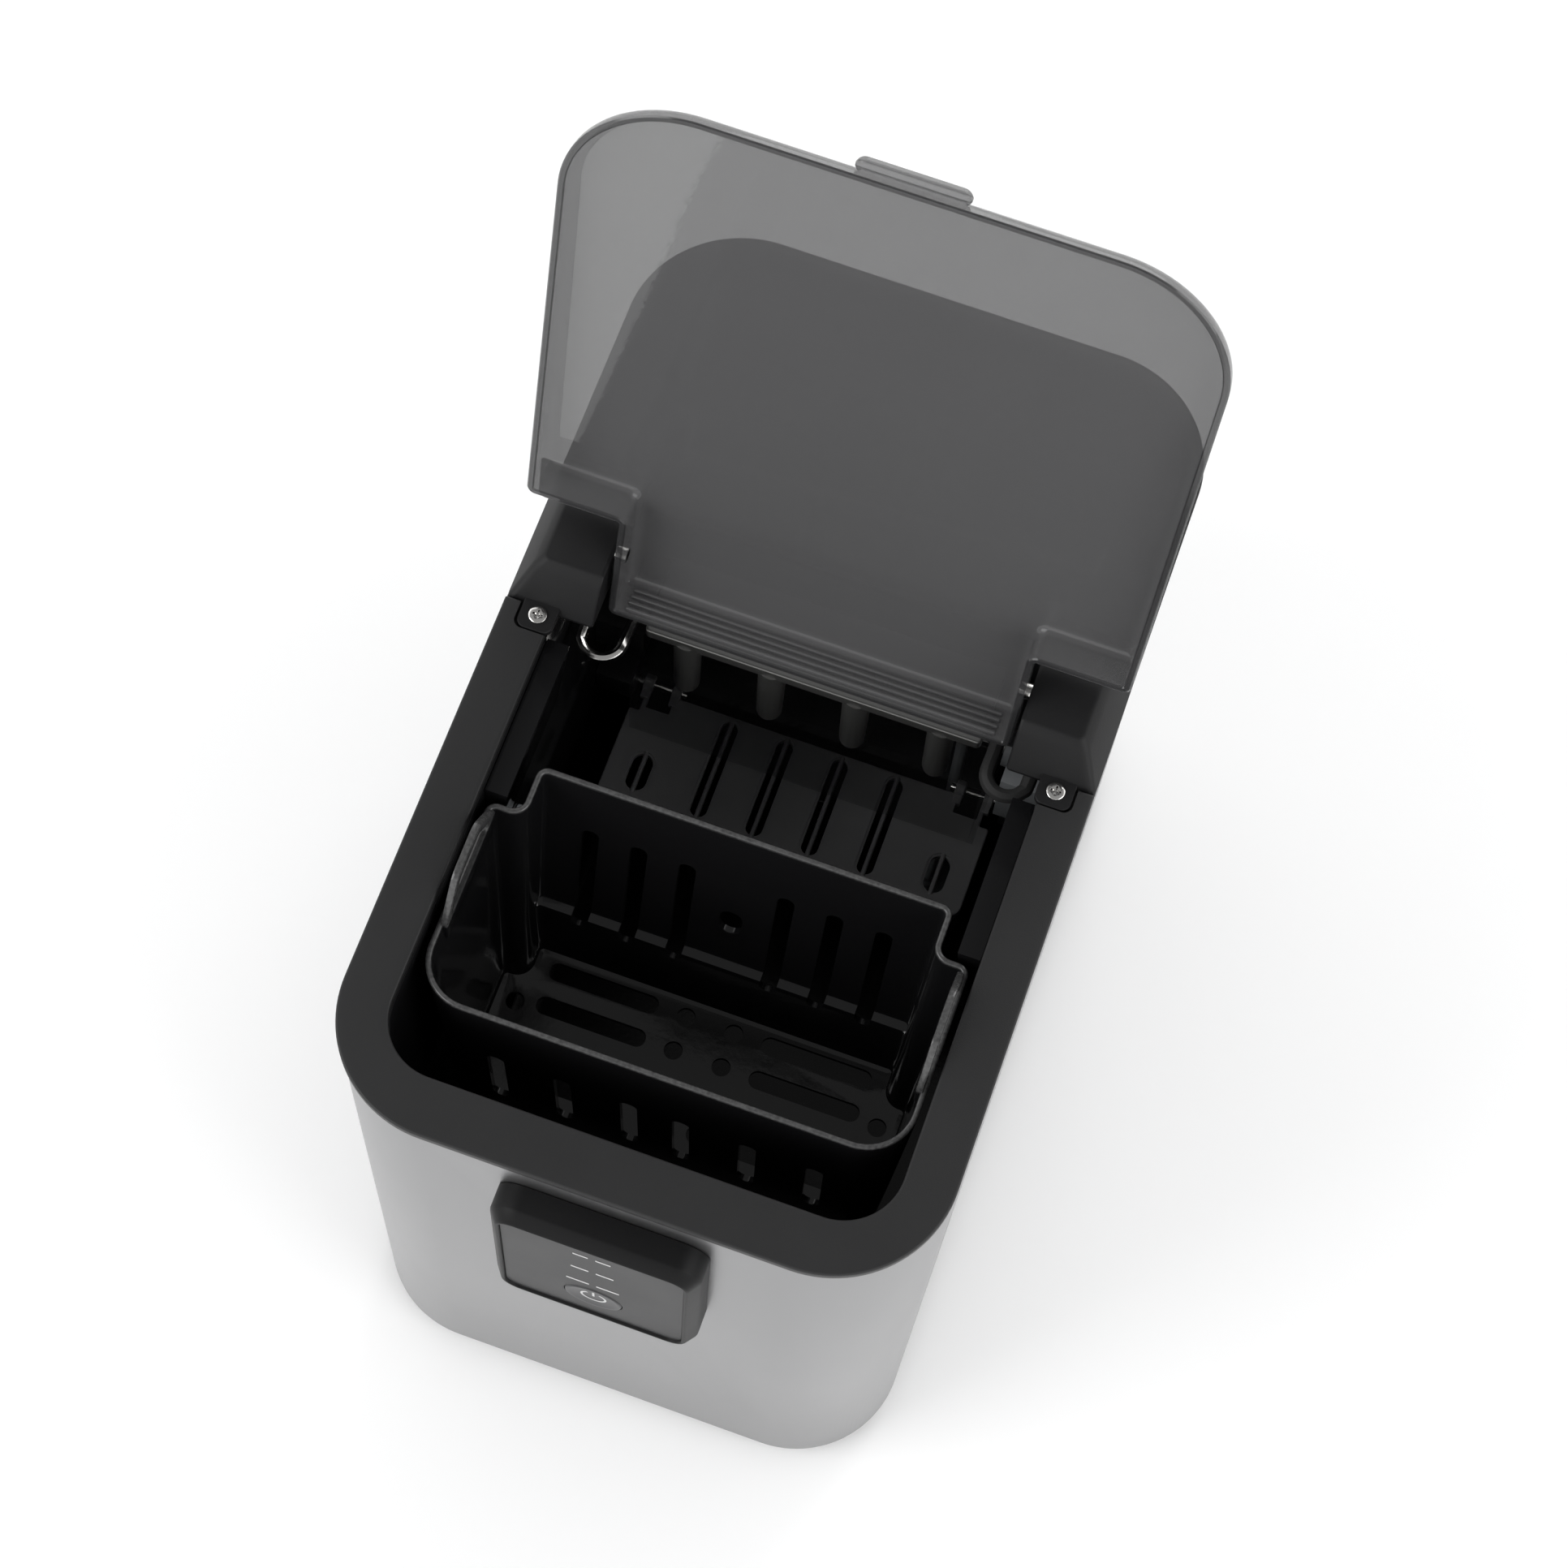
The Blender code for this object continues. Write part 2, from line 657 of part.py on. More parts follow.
def lid():
    """A shallow tray upside down, with a tongue between the hinge blocks; drawn closed, then opened."""
    rim = TOP + LID_REST_GAP
    front = FRONT + 0.001
    overhang = PIVOT_Y - LID_OVERHANG
    tail = PIVOT_Y + TONGUE_REACH
    radius = CORNER_RADIUS - 0.001
    outline = arc(-HALF + radius, front + radius, radius, 180, 270, 10)
    outline += arc(HALF - radius, front + radius, radius, 270, 360, 10)
    outline += [(HALF, overhang), (TONGUE_HALF, overhang), (TONGUE_HALF, tail)]
    outline += [(-TONGUE_HALF, tail), (-TONGUE_HALF, overhang), (-HALF, overhang)]
    made = finish("lid", sloped(outline, rim, 0.0), "smoked_clear")
    skirt_end = PIVOT_Y - LID_SKIRT_END
    wall = LID_WALL
    small = radius - wall
    hollow = arc(-HALF + radius, front + radius, small, 180, 270, 10)
    hollow += arc(HALF - radius, front + radius, small, 270, 360, 10)
    inner = TONGUE_HALF - wall
    hollow += [(HALF - wall, skirt_end - wall), (inner, skirt_end - wall), (inner, tail - wall)]
    hollow += [(-inner, tail - wall), (-inner, skirt_end - wall), (-HALF + wall, skirt_end - wall)]
    cutters = [sloped(hollow, rim - 0.01, wall)]
    for side in (-1, 1):
        x0, x1 = sorted((side * TONGUE_HALF, side * (HALF + 0.01)))
        notch = [(x0, skirt_end), (x1, skirt_end), (x1, tail), (x0, tail)]
        cutters.append(sloped(notch, rim - 0.01, wall))
    holes = rod(PIN_RADIUS + GAP, (-HALF, PIVOT_Y, PIVOT_Z), BODY_WIDTH, "X")
    reach = LID_TAB_WIDTH / 2
    tab = rounded(-reach, reach, front - LID_TAB_REACH, front + 0.006, 0.004, 0.001, 4)
    cut(made, *cutters, holes)
    join(made, prism(tab, TOP + 0.0035, TOP + 0.0060))
    holder = hung([made], "lid_axis", (0.0, PIVOT_Y, PIVOT_Z))
    holder.rotation_euler.x = -math.radians(LID_ANGLE)
    return made


# Liner and basket

def liner_outline(inset):
    y0 = back(FLANGE_FRONT) - LINER_WALL + inset
    radius = OPENING_RADIUS + LINER_WALL - inset
    half = LINER_HALF - inset
    return rounded(-half, half, y0, LINER_BACK - inset, radius, 0.008 + LINER_WALL - inset)


def liner_tub():
    base = FOOT_HEIGHT + LINER_FLOOR
    inner = liner_outline(LINER_WALL)
    tub = finish(
        "liner_tub",
        cup(liner_outline(0.0), inner, base, base + LINER_WALL, UNDER_FRAME - GAP),
        "liner_black",
    )
    tube_holes = [
        rod(TUBE_RADIUS + 0.001, (side * TUBE_EXIT, LINER_BACK - 0.01, below(0.038)), 0.02, "Y", 12)
        for side in (-1, 1)
    ]
    drain = rod(DRAIN_BORE, (DRAIN_X, LINER_BACK - 0.01, DRAIN_Z), 0.02, "Y", 12)
    return cut(tub, merged(tube_holes), drain)


def insulation():
    """Foam between the liner and the steel, round the front and both sides."""
    outer_inset = WRAP_INSET + SHEET + FOAM_GAP
    outer = body_outline(outer_inset, 0.0)
    end = LINER_BACK - 0.012
    outer = [(x, min(y, end)) for x, y in outer if y <= end]
    radius = OPENING_RADIUS + LINER_WALL + FOAM_GAP
    half = LINER_HALF + FOAM_GAP
    y0 = back(FLANGE_FRONT) - LINER_WALL - FOAM_GAP
    left = [p for p in outer if p[0] < 0]
    right = [p for p in outer if p[0] >= 0]
    outline = [(-HALF + outer_inset, end)] + left + right + [(HALF - outer_inset, end), (half, end)]
    outline += arc(half - radius, y0 + radius, radius, 360, 270, 6)
    outline += arc(-half + radius, y0 + radius, radius, 270, 180, 6)
    outline += [(-half, end)]
    foam = prism(outline, FOOT_HEIGHT + 0.016, UNDER_FRAME - 0.001)
    made = finish("insulation_jacket", foam, "foam_white")
    return cut(made, box(-0.022, 0.022, FRONT - 0.01, FRONT + 0.006, below(0.087), below(0.043)))


def basket_outline(inset):
    """A T in plan: wide at the front, a narrower neck at the rear that clears the side rails."""
    convex = BASKET_RADIUS - inset
    half = BASKET_HALF - inset
    neck = BASKET_HALF - BASKET_NECK - inset
    front = back(BASKET_FRONT) + inset
    shoulder = back(BASKET_SHOULDER) - inset
    rear = back(BASKET_REAR) - inset
    turn = BASKET_JOG_RADIUS - inset / 2
    hollow = BASKET_JOG_RADIUS + inset / 2
    points = arc(-half + convex, front + convex, convex, 180, 270, 6)
    points += arc(half - convex, front + convex, convex, 270, 360, 6)
    points += arc(half - turn, shoulder - turn, turn, 0, 90, 4)
    points += arc(neck + hollow, shoulder + hollow, hollow, 270, 180, 4)
    points += arc(neck - turn, rear - turn, turn, 0, 90, 4)
    points += arc(-neck + turn, rear - turn, turn, 90, 180, 4)
    points += arc(-neck - hollow, shoulder + hollow, hollow, 0, -90, 4)
    points += arc(-half + turn, shoulder - turn, turn, 90, 180, 4)
    return points


def slot(x0, x1, y, width, z0, z1):
    """A long round-ended slot cutter along X."""
    radius = width / 2
    outline = arc(x0 + radius, y, radius, 90, 270, 4) + arc(x1 - radius, y, radius, -90, 90, 4)
    return prism(outline, z0, z1)


def basket():
    rim = below(BASKET_RIM_DROP)
    base = below(BASKET_FLOOR_DROP)
    made = finish(
        "ice_basket",
        cup(basket_outline(0.0), basket_outline(BASKET_WALL), base, base + BASKET_WALL, rim),
        "basket_black",
    )
    loops = []
    for side in (-1, 1):
        y0, y1 = back(HANDLE_FRONT), back(HANDLE_REAR)
        z0, z1 = rim - 0.010, rim + HANDLE_RISE
        outer = rounded(y0, y1, z0, z1, 0.001, 0.0160, 5)
        inner = rounded(y0 + HANDLE_WALL, y1 - HANDLE_WALL, rim + 0.001, z1 - HANDLE_WALL, 0.004, 0.0055, 5)
        band = sideways(ring(outer, inner, 0.0, BASKET_WALL + 0.0006))
        start = side * BASKET_HALF - (0.0 if side < 0 else BASKET_WALL + 0.0006)
        loops.append(moved(band, Matrix.Translation((start, 0.0, 0.0))))
    join(made, *loops)
    low, high = base - 0.01, base + 0.01
    floor_cuts = []
    for row in range(4):
        y = back(BASKET_SHOULDER - 0.0045 - 0.0160 * row)
        for side in (-1, 1):
            x0, x1 = sorted((side * 0.021, side * 0.066))
            floor_cuts.append(slot(x0, x1, y, 0.0075, low, high))
            floor_cuts.append(rod(0.0037, (side * 0.0100, y, low), 0.02, steps=10))
    wall_cuts = []
    for index in range(3):
        for side in (-1, 1):
            x = side * (0.0190 + 0.0188 * index)
            slit = [(px, pz) for px, pz in rounded(x - 0.0032, x + 0.0032, base + 0.040, rim - 0.028, 0.0030,
                                                   0.0030, 3)]
            cutter = upright(prism(slit, 0.0, back(BASKET_REAR + 0.01) - back(BASKET_FRONT - 0.01)))
            wall_cuts.append(moved(cutter, Matrix.Translation((0.0, back(BASKET_FRONT - 0.01), 0.0))))
    return cut(made, merged(floor_cuts), merged(wall_cuts))


def basket_rails():
    """Ledges on the liner's sides, behind the basket's shoulders, that guide its neck."""
    for side, name in ((-1, "left"), (1, "right")):
        outer = OPENING_HALF - GAP
        inner = OPENING_HALF - 0.0088
        low = sorted((side * (OPENING_HALF - 0.0030), side * outer))
        high = sorted((side * inner, side * outer))
        start = back(BASKET_SHOULDER + 0.0025)
        end = BLOCK_FRONT - 0.008
        block = hexahedron((*low, start, end, below(0.060)), (*high, start, end, below(0.0075)))
        finish(f"basket_rail_{name}", block, "liner_black")


def ice_sensors():
    """The two eyes that look across the basket for a full load."""
    for side, name in ((-1, "left"), (1, "right")):
        profile = ((0.0042, 0.0), (0.0042, 0.0020), (0.0026, 0.0042))
        centre = (side * (OPENING_HALF - GAP), back(0.152), below(0.088))
        eye = turned(profile, (0, 0, 0), "X", 16)
        if side > 0:
            moved(eye, Matrix.Rotation(math.pi, 4, "Z"))
        moved(eye, Matrix.Translation(centre))
        finish(f"ice_sensor_{name}", eye, "fascia_grey")


# Control module

def module_outline(inset):
    z1 = below(MODULE_DROP) - inset
    z0 = below(MODULE_DROP + MODULE_HEIGHT) + inset
    half = MODULE_WIDTH / 2 - inset
    return rounded(-half, half, z0, z1, MODULE_RADIUS - inset, MODULE_RADIUS - inset, 6)


def control_housing():
    """A shallow box on the front face, its front edges chamfered, its mouth closed by the fascia."""
    rear = FRONT + WRAP_INSET - GAP
    front = FRONT - MODULE_PROUD
    places = (
        (0.0, rear), (0.0005, front + 0.0035), (0.0032, front), (0.0032 + 0.0014, front),
        (0.0032 + 0.0014, rear - MODULE_WALL),
    )
    mesh = bmesh.new()
    rings = [[mesh.verts.new((x, y, z)) for x, z in module_outline(inset)] for inset, y in places]
    stitch(mesh, rings)
    mesh.faces.new(rings[0][::-1])
    mesh.faces.new(rings[-1])
    return finish("control_housing", mesh, "frame_black")


def control_fascia():
    front = FRONT - MODULE_PROUD + FASCIA_RECESS
    outline = module_outline(0.0046 + GAP)
    plate = moved(upright(prism(outline, 0.0, FASCIA_THICK)), Matrix.Translation((0, front, 0)))
    made = finish("control_fascia", plate, "fascia_grey")
    hole = rod(BUTTON_RADIUS + GAP, (0, front - 0.01, below(BUTTON_DROP)), 0.02, "Y", 28)
    return cut(made, hole)


def power_button():
    front = FRONT - MODULE_PROUD + FASCIA_RECESS - 0.0004
    profile = ((BUTTON_RADIUS - 0.0006, 0.0), (BUTTON_RADIUS, 0.0006), (BUTTON_RADIUS, BUTTON_DEPTH))
    return finish("power_button", turned(profile, (0, front, below(BUTTON_DROP)), "Y", 28), "fascia_grey")


def control_board():
    front = FRONT - 0.0048
    outline = module_outline(0.0075)
    plate = moved(upright(prism(outline, 0.0, BOARD_THICK)), Matrix.Translation((0, front, 0)))
    finish("control_board", plate, "board_green")
    for index in range(3):
        z = below(LED_DROP + LED_PITCH * index)
        y0 = FRONT - MODULE_PROUD + FASCIA_RECESS + FASCIA_THICK + GAP
        lamp = box(-0.0025, 0.0025, y0, front - GAP, z - 0.0015, z + 0.0015)
        finish(f"status_lamp_{index + 1}", lamp, "lamp_white")


# Ice making mechanism

def evaporator():
    """The cold plate with its row of freezing fingers."""
    y0, y1 = back(FINGER_BACK - 0.010), back(FINGER_BACK + 0.028)
    z1 = below(PLATE_DROP - PLATE_THICK)
    z0 = below(PLATE_DROP)
    plate = finish("evaporator", box(-0.066, 0.066, y0, y1, z0, z1), "bright_metal")
    tip = below(FINGER_TIP_DROP)
    fingers = []
    for index in range(FINGER_COUNT):
        x = FINGER_PITCH * (index - (FINGER_COUNT - 1) / 2)
        profile = (
            (FINGER_RADIUS * 0.55, 0.0), (FINGER_RADIUS * 0.9, 0.0016), (FINGER_RADIUS, 0.004),
            (FINGER_RADIUS + 0.0006, z0 - tip + 0.003),
        )
        fingers.append(turned(profile, (x, back(FINGER_BACK), tip), steps=14))
    return join(plate, *fingers)


def evaporator_cover():
    """The moulding behind the fingers, with a recessed panel between each two."""
    y0, y1 = back(FINGER_BACK + 0.0105), back(FINGER_BACK + 0.0295)
    top = below(PLATE_DROP) - GAP
    made = finish("evaporator_cover", box(-0.078, 0.078, y0, y1, top - 0.018, top), "liner_black")
    panels = []
    for index in range(FINGER_COUNT + 1):
        x = FINGER_PITCH * (index - FINGER_COUNT / 2)
        reach = 0.0105 if 0 < index < FINGER_COUNT else 0.0080
        panels.append(box(x - reach, x + reach, y0 - 0.01, y0 + 0.007, top - 0.0155, top - 0.003))
    return cut(made, merged(panels))


def water_tray():
    """A trough on the tray axis, at rest tipped so that its mouth looks forward."""
    ay, az = back(TRAY_AXIS_BACK), below(TRAY_AXIS_DROP)
    y0, y1 = ay - TRAY_MOUTH, ay + TRAY_KEEL
    z0, z1 = az - TRAY_HEIGHT, az + 0.0045
    tray = finish("water_tray", box(-TRAY_HALF, TRAY_HALF, y0, y1, z0, z1), "smoked_clear")
    wall = TRAY_WALL
    hollow = box(
        -TRAY_HALF + wall, TRAY_HALF - wall, y0 - 0.01, y1 - wall, z0 + wall, z1 - wall - 0.0085
    )
    sweep = box(-TRAY_HALF + wall, TRAY_HALF - wall, y0 - 0.01, ay - TRAY_LIP, az - 0.02, z1 + 0.01)
    bore = rod(SHAFT_RADIUS + GAP, (-TRAY_HALF - 0.01, ay, az), 2 * TRAY_HALF + 0.02, "X", 16)
    return cut(tray, hollow, sweep, bore)


def tray_shaft():
    start = -TRAY_HALF - TRAY_SHAFT_END
    place = (start, back(TRAY_AXIS_BACK), below(TRAY_AXIS_DROP))
    return finish("tray_shaft", rod(SHAFT_RADIUS, place, 2 * (TRAY_HALF + TRAY_SHAFT_END), "X"), "bright_metal")


def tray_bearing():
    """The block on the liner's left wall that carries the free end of the shaft."""
    ay, az = back(TRAY_AXIS_BACK), below(TRAY_AXIS_DROP)
    x0, x1 = -OPENING_HALF + GAP, -TRAY_HALF - 0.001
    block = box(x0, x1, ay - 0.009, ay + 0.009, az - 0.010, az + 0.010)
    made = finish("tray_bearing", block, "liner_black")
    depth = TRAY_SHAFT_END + 0.0011
    return cut(made, rod(SHAFT_RADIUS + GAP, (x1 - depth, ay, az), depth + 0.01, "X"))


def tray_motor():
    """The gear motor on the right that turns the tray shaft."""
    ay, az = back(TRAY_AXIS_BACK), below(TRAY_AXIS_DROP)
    x1 = OPENING_HALF - GAP
    x0 = TRAY_HALF + 0.001
    case = box(x0 + 0.003, x1, ay - 0.021, ay + 0.0080, az - 0.018, az + 0.016)
    made = finish("tray_motor", case, "motor_grey")
    join(made, rod(0.0075, (x0, ay, az), 0.006, "X", 20))
    return cut(made, rod(SHAFT_RADIUS + GAP, (x0 - 0.01, ay, az), 0.0170, "X"))


def ice_shovel():
    """The slotted flap that pushes the ice into the basket, hinged along its rear edge."""
    ay, az = back(SHOVEL_AXIS_BACK), below(SHOVEL_AXIS_DROP)
    y0 = ay - SHOVEL_REACH
    z0, z1 = az - SHOVEL_THICK / 2, az + SHOVEL_THICK / 2
    half = SHOVEL_HALF
    plate = prism(rounded(-half, half, y0, ay - 0.003, 0.005, 0.002, 4), z0, z1)
    made = finish("ice_shovel", plate, "shovel_black")
    knuckles = []
    for side in (-1, 1):
        for offset in (0.0580, 0.0700):
            x0, x1 = sorted((side * offset, side * (offset + 0.004)))
            knuckles.append(rod(0.0036, (x0, ay, az), x1 - x0, "X", 14))
            knuckles.append(box(x0, x1, ay - 0.006, ay, z0, z1))
    cuts = [rod(ROD_RADIUS + GAP, (-half - 0.01, ay, az), 2 * half + 0.02, "X", 14)]
    slots = []
    for index in range(4):
        x = 0.0233 * (index - 1.5)
        for edge in (-1, 1):
            place = x + edge * 0.0022
            slots.append(box(place - 0.0011, place + 0.0011, y0 + 0.006, ay - 0.006, z0 - 0.01, z1 + 0.01))
    for side in (-1, 1):
        x = side * 0.0625
        for edge in (-1, 1):
            place = x + edge * 0.0021
            slots.append(box(place - 0.0011, place + 0.0011, y0 + 0.008, y0 + 0.022, z0 - 0.01, z1 + 0.01))
        notch = x + side * 0.0035
        slots.append(box(notch - 0.0040, notch + 0.0040, ay - 0.012, ay, z0 - 0.01, z1 + 0.01))
    join(made, *knuckles)
    return cut(made, merged(slots), *cuts)


def shovel_rods():
    """Short hinge rods in the shovel's knuckles, held in the side walls' brackets."""
    for side, name in ((-1, "left"), (1, "right")):
        place = [side * 0.0560, back(SHOVEL_AXIS_BACK), below(SHOVEL_AXIS_DROP)]
        length = 0.0290
        if side < 0:
            place[0] -= length
        finish(f"shovel_rod_{name}", rod(ROD_RADIUS, place, length, "X", 14), "bright_metal")


def shovel_brackets():
    """The clips on the liner's side walls that hold the shovel's hinge rods."""
    ay, az = back(SHOVEL_AXIS_BACK), below(SHOVEL_AXIS_DROP)
    for side, name in ((-1, "left"), (1, "right")):
        x0, x1 = sorted((side * (SHOVEL_HALF + 0.0020), side * (OPENING_HALF - GAP)))
        block = box(x0, x1, ay - 0.006, ay + 0.012, az - 0.007, az + 0.007)
        clip = finish(f"shovel_bracket_{name}", block, "liner_black")
        inner = x0 - 0.01 if side > 0 else x1 - 0.0095
        cut(clip, rod(ROD_RADIUS + GAP, (inner, ay, az), 0.0195, "X", 14))


def water_pump():
    floor = FOOT_HEIGHT + LINER_FLOOR + LINER_WALL + GAP
    centre = (PUMP_X, back(PUMP_BACK), floor)
    profile = (
        (0.0175, 0.0), (0.0175, 0.018), (0.0130, 0.022),
        (0.0130, 0.030), (0.0040, 0.031), (0.0040, 0.037),
    )
    finish("water_pump", turned(profile, centre, steps=24), "motor_grey")


def pump_hose():
    start = FOOT_HEIGHT + LINER_FLOOR + LINER_WALL + 0.0390
    y = back(PUMP_BACK)
    riser = back(TRAY_AXIS_BACK) + TRAY_KEEL + 0.0045
    points = [
        (PUMP_X, y, start), (PUMP_X, y, start + 0.010), (PUMP_X, riser - 0.004, start + 0.030),
        (PUMP_X, riser, start + 0.055), (PUMP_X, riser, below(0.120)), (PUMP_X, riser, below(0.078)),
    ]
    tube("pump_hose", points, 0.0026, "hose_clear", 3)


def refrigerant_tubes():
    """The bright inlet bend on the left of the cold plate and the sleeved outlet bend on the right."""
    z = below(0.038)
    front = back(0.203)
    for side, name, look, radius in ((-1, "evaporator_tube", "bright_metal", TUBE_RADIUS),
                                     (1, "suction_sleeve", "rubber_black", TUBE_RADIUS + 0.0006)):
        inner = 0.0715
        outer = TUBE_EXIT
        middle = (inner + outer) / 2
        bend = (outer - inner) / 2
        points = [(side * (0.0663 + radius), back(FINGER_BACK + 0.018), below(PLATE_DROP - PLATE_THICK / 2))]
        points += [(side * inner, front + bend + 0.012, below(PLATE_DROP - PLATE_THICK / 2 - 0.002))]
        for x, y in arc(middle, front + bend, bend, 180, 360, 6):
            points.append((side * x, y, z))
        points += [(side * outer, back(0.235), z), (side * outer, LINER_BACK + 0.008, z)]
        tube(name, points, radius, look, 3)


# Rear compartment

def compressor():
    floor = FOOT_HEIGHT + 0.0145
    centre = (COMPRESSOR_X, REAR - 0.055, floor)
    r, h = COMPRESSOR_RADIUS, COMPRESSOR_HEIGHT
    profile = (
        (r * 0.30, 0.0), (r * 0.72, 0.003), (r * 0.93, 0.014), (r, 0.030),
        (r, h * 0.52), (r + 0.0015, h * 0.53), (r + 0.0015, h * 0.56), (r * 0.98, h * 0.57),
        (r * 0.94, h - 0.018), (r * 0.72, h - 0.004), (r * 0.30, h),
    )
    made = finish("compressor", turned(profile, centre, steps=28), "compressor_black")
    x, y, _ = centre
    low = floor - 0.0030
    plate = prism(rounded(x - 0.040, x + 0.040, y - 0.038, y + 0.036, 0.012, 0.012, 3), low, low + 0.0027)
    stand = finish("compressor_stand", plate, "motor_grey")
    start = FOOT_HEIGHT + 0.0025 + GAP
    bushes = [
        rod(0.006, (x + dx, y + dy, start), low + 0.001 - start, steps=14)
        for dx in (-0.031, 0.031) for dy in (-0.029, 0.027)
    ]
    join(stand, *bushes)
    box_low = FOOT_HEIGHT + 0.070
    join(made, box(x + r - 0.004, x + r + 0.0085, y - 0.016, y + 0.012, box_low, box_low + 0.040))


def condenser():
    """A finned block in front of the rear vents: a comb in plan, carried up."""
    x1 = CONDENSER_RIGHT
    x0 = x1 - CONDENSER_WIDTH
    y0, y1 = REAR - 0.032, REAR - 0.009
    z0 = FOOT_HEIGHT + CONDENSER_BASE
    count = 13
    pitch = CONDENSER_WIDTH / count
    fin = pitch * 0.45
    outline = [(x0, y1), (x0, y0)]
    for index in range(count):
        left = x0 + pitch * index
        outline += [(left + fin, y0), (left + fin, y1 - 0.006)]
        if index < count - 1:
            outline += [(left + pitch, y1 - 0.006), (left + pitch, y0)]
    outline = outline[:-1] + [(x1, y1 - 0.006), (x1, y1)]
    finish("condenser", prism(outline[::-1], z0, z0 + CONDENSER_HEIGHT), "fin_metal")


def fan():
    """The cooling fan: a shroud plate, a motor on its bar, a shaft and a bladed wheel."""
    cx = CONDENSER_RIGHT - CONDENSER_WIDTH / 2
    cz = FOOT_HEIGHT + CONDENSER_BASE + CONDENSER_HEIGHT / 2
    wheel_front = REAR - 0.056
    count = 32
    half_w, half_h = CONDENSER_WIDTH / 2, CONDENSER_HEIGHT / 2
    square = []
    for index in range(count):
        angle = 2 * math.pi * (index + 0.5) / count
        c, s = math.cos(angle), math.sin(angle)
        reach = 1.0 / max(abs(c) / half_w, abs(s) / half_h)
        square.append((cx + reach * c, cz + reach * s))
    hole_radius = FAN_RADIUS + 0.002
    hole = [(cx + hole_radius * math.cos(2 * math.pi * (i + 0.5) / count),
             cz + hole_radius * math.sin(2 * math.pi * (i + 0.5) / count)) for i in range(count)]
    shroud = moved(upright(ring(square, hole, 0.0, 0.0217)), Matrix.Translation((0, wheel_front + 0.002, 0)))
    finish("fan_shroud", shroud, "liner_black")
    hub = turned(((0.011, 0.0), (0.012, 0.002), (0.012, 0.013), (0.010, 0.015)), (cx, wheel_front, cz), "Y", 20)
    wheel = finish("fan_wheel", hub, "motor_grey")
    blades = []
    for index in range(FAN_BLADES):
        blade = box(0.009, FAN_RADIUS, -0.0008, 0.0008, -0.0055, 0.0055)
        moved(blade, Matrix.Rotation(math.radians(48), 4, "X"))
        moved(blade, Matrix.Rotation(2 * math.pi * index / FAN_BLADES, 4, "Y"))
        blades.append(moved(blade, Matrix.Translation((cx, wheel_front + 0.0075, cz))))
    join(wheel, *blades)
    join(wheel, rod(0.0016, (cx, wheel_front - 0.006, cz), 0.0135, "Y", 12))
    motor_back = wheel_front - 0.0025
    motor = finish(
        "fan_motor",
        turned(((0.012, 0.0), (0.016, 0.002), (0.016, 0.018), (0.006, 0.020)), (cx, motor_back - 0.020, cz), "Y"),
        "motor_grey",
    )
    cut(motor, rod(0.0016 + GAP, (cx, motor_back - 0.0045, cz), 0.02, "Y", 12))
    bar = box(cx - half_w, cx + half_w, motor_back - 0.0235, motor_back - 0.0203, cz - 0.007, cz + 0.007)
    bracket = finish("fan_bracket", bar, "fin_metal")
    legs = []
    for side in (-1, 1):
        a, b = sorted((cx + side * half_w, cx + side * (half_w - 0.002)))
        legs.append(box(a, b, motor_back - 0.0225, wheel_front + 0.0017, cz - 0.007, cz + 0.007))
    join(bracket, *legs)
    hung([wheel], "fan_axis", (cx, wheel_front, cz))


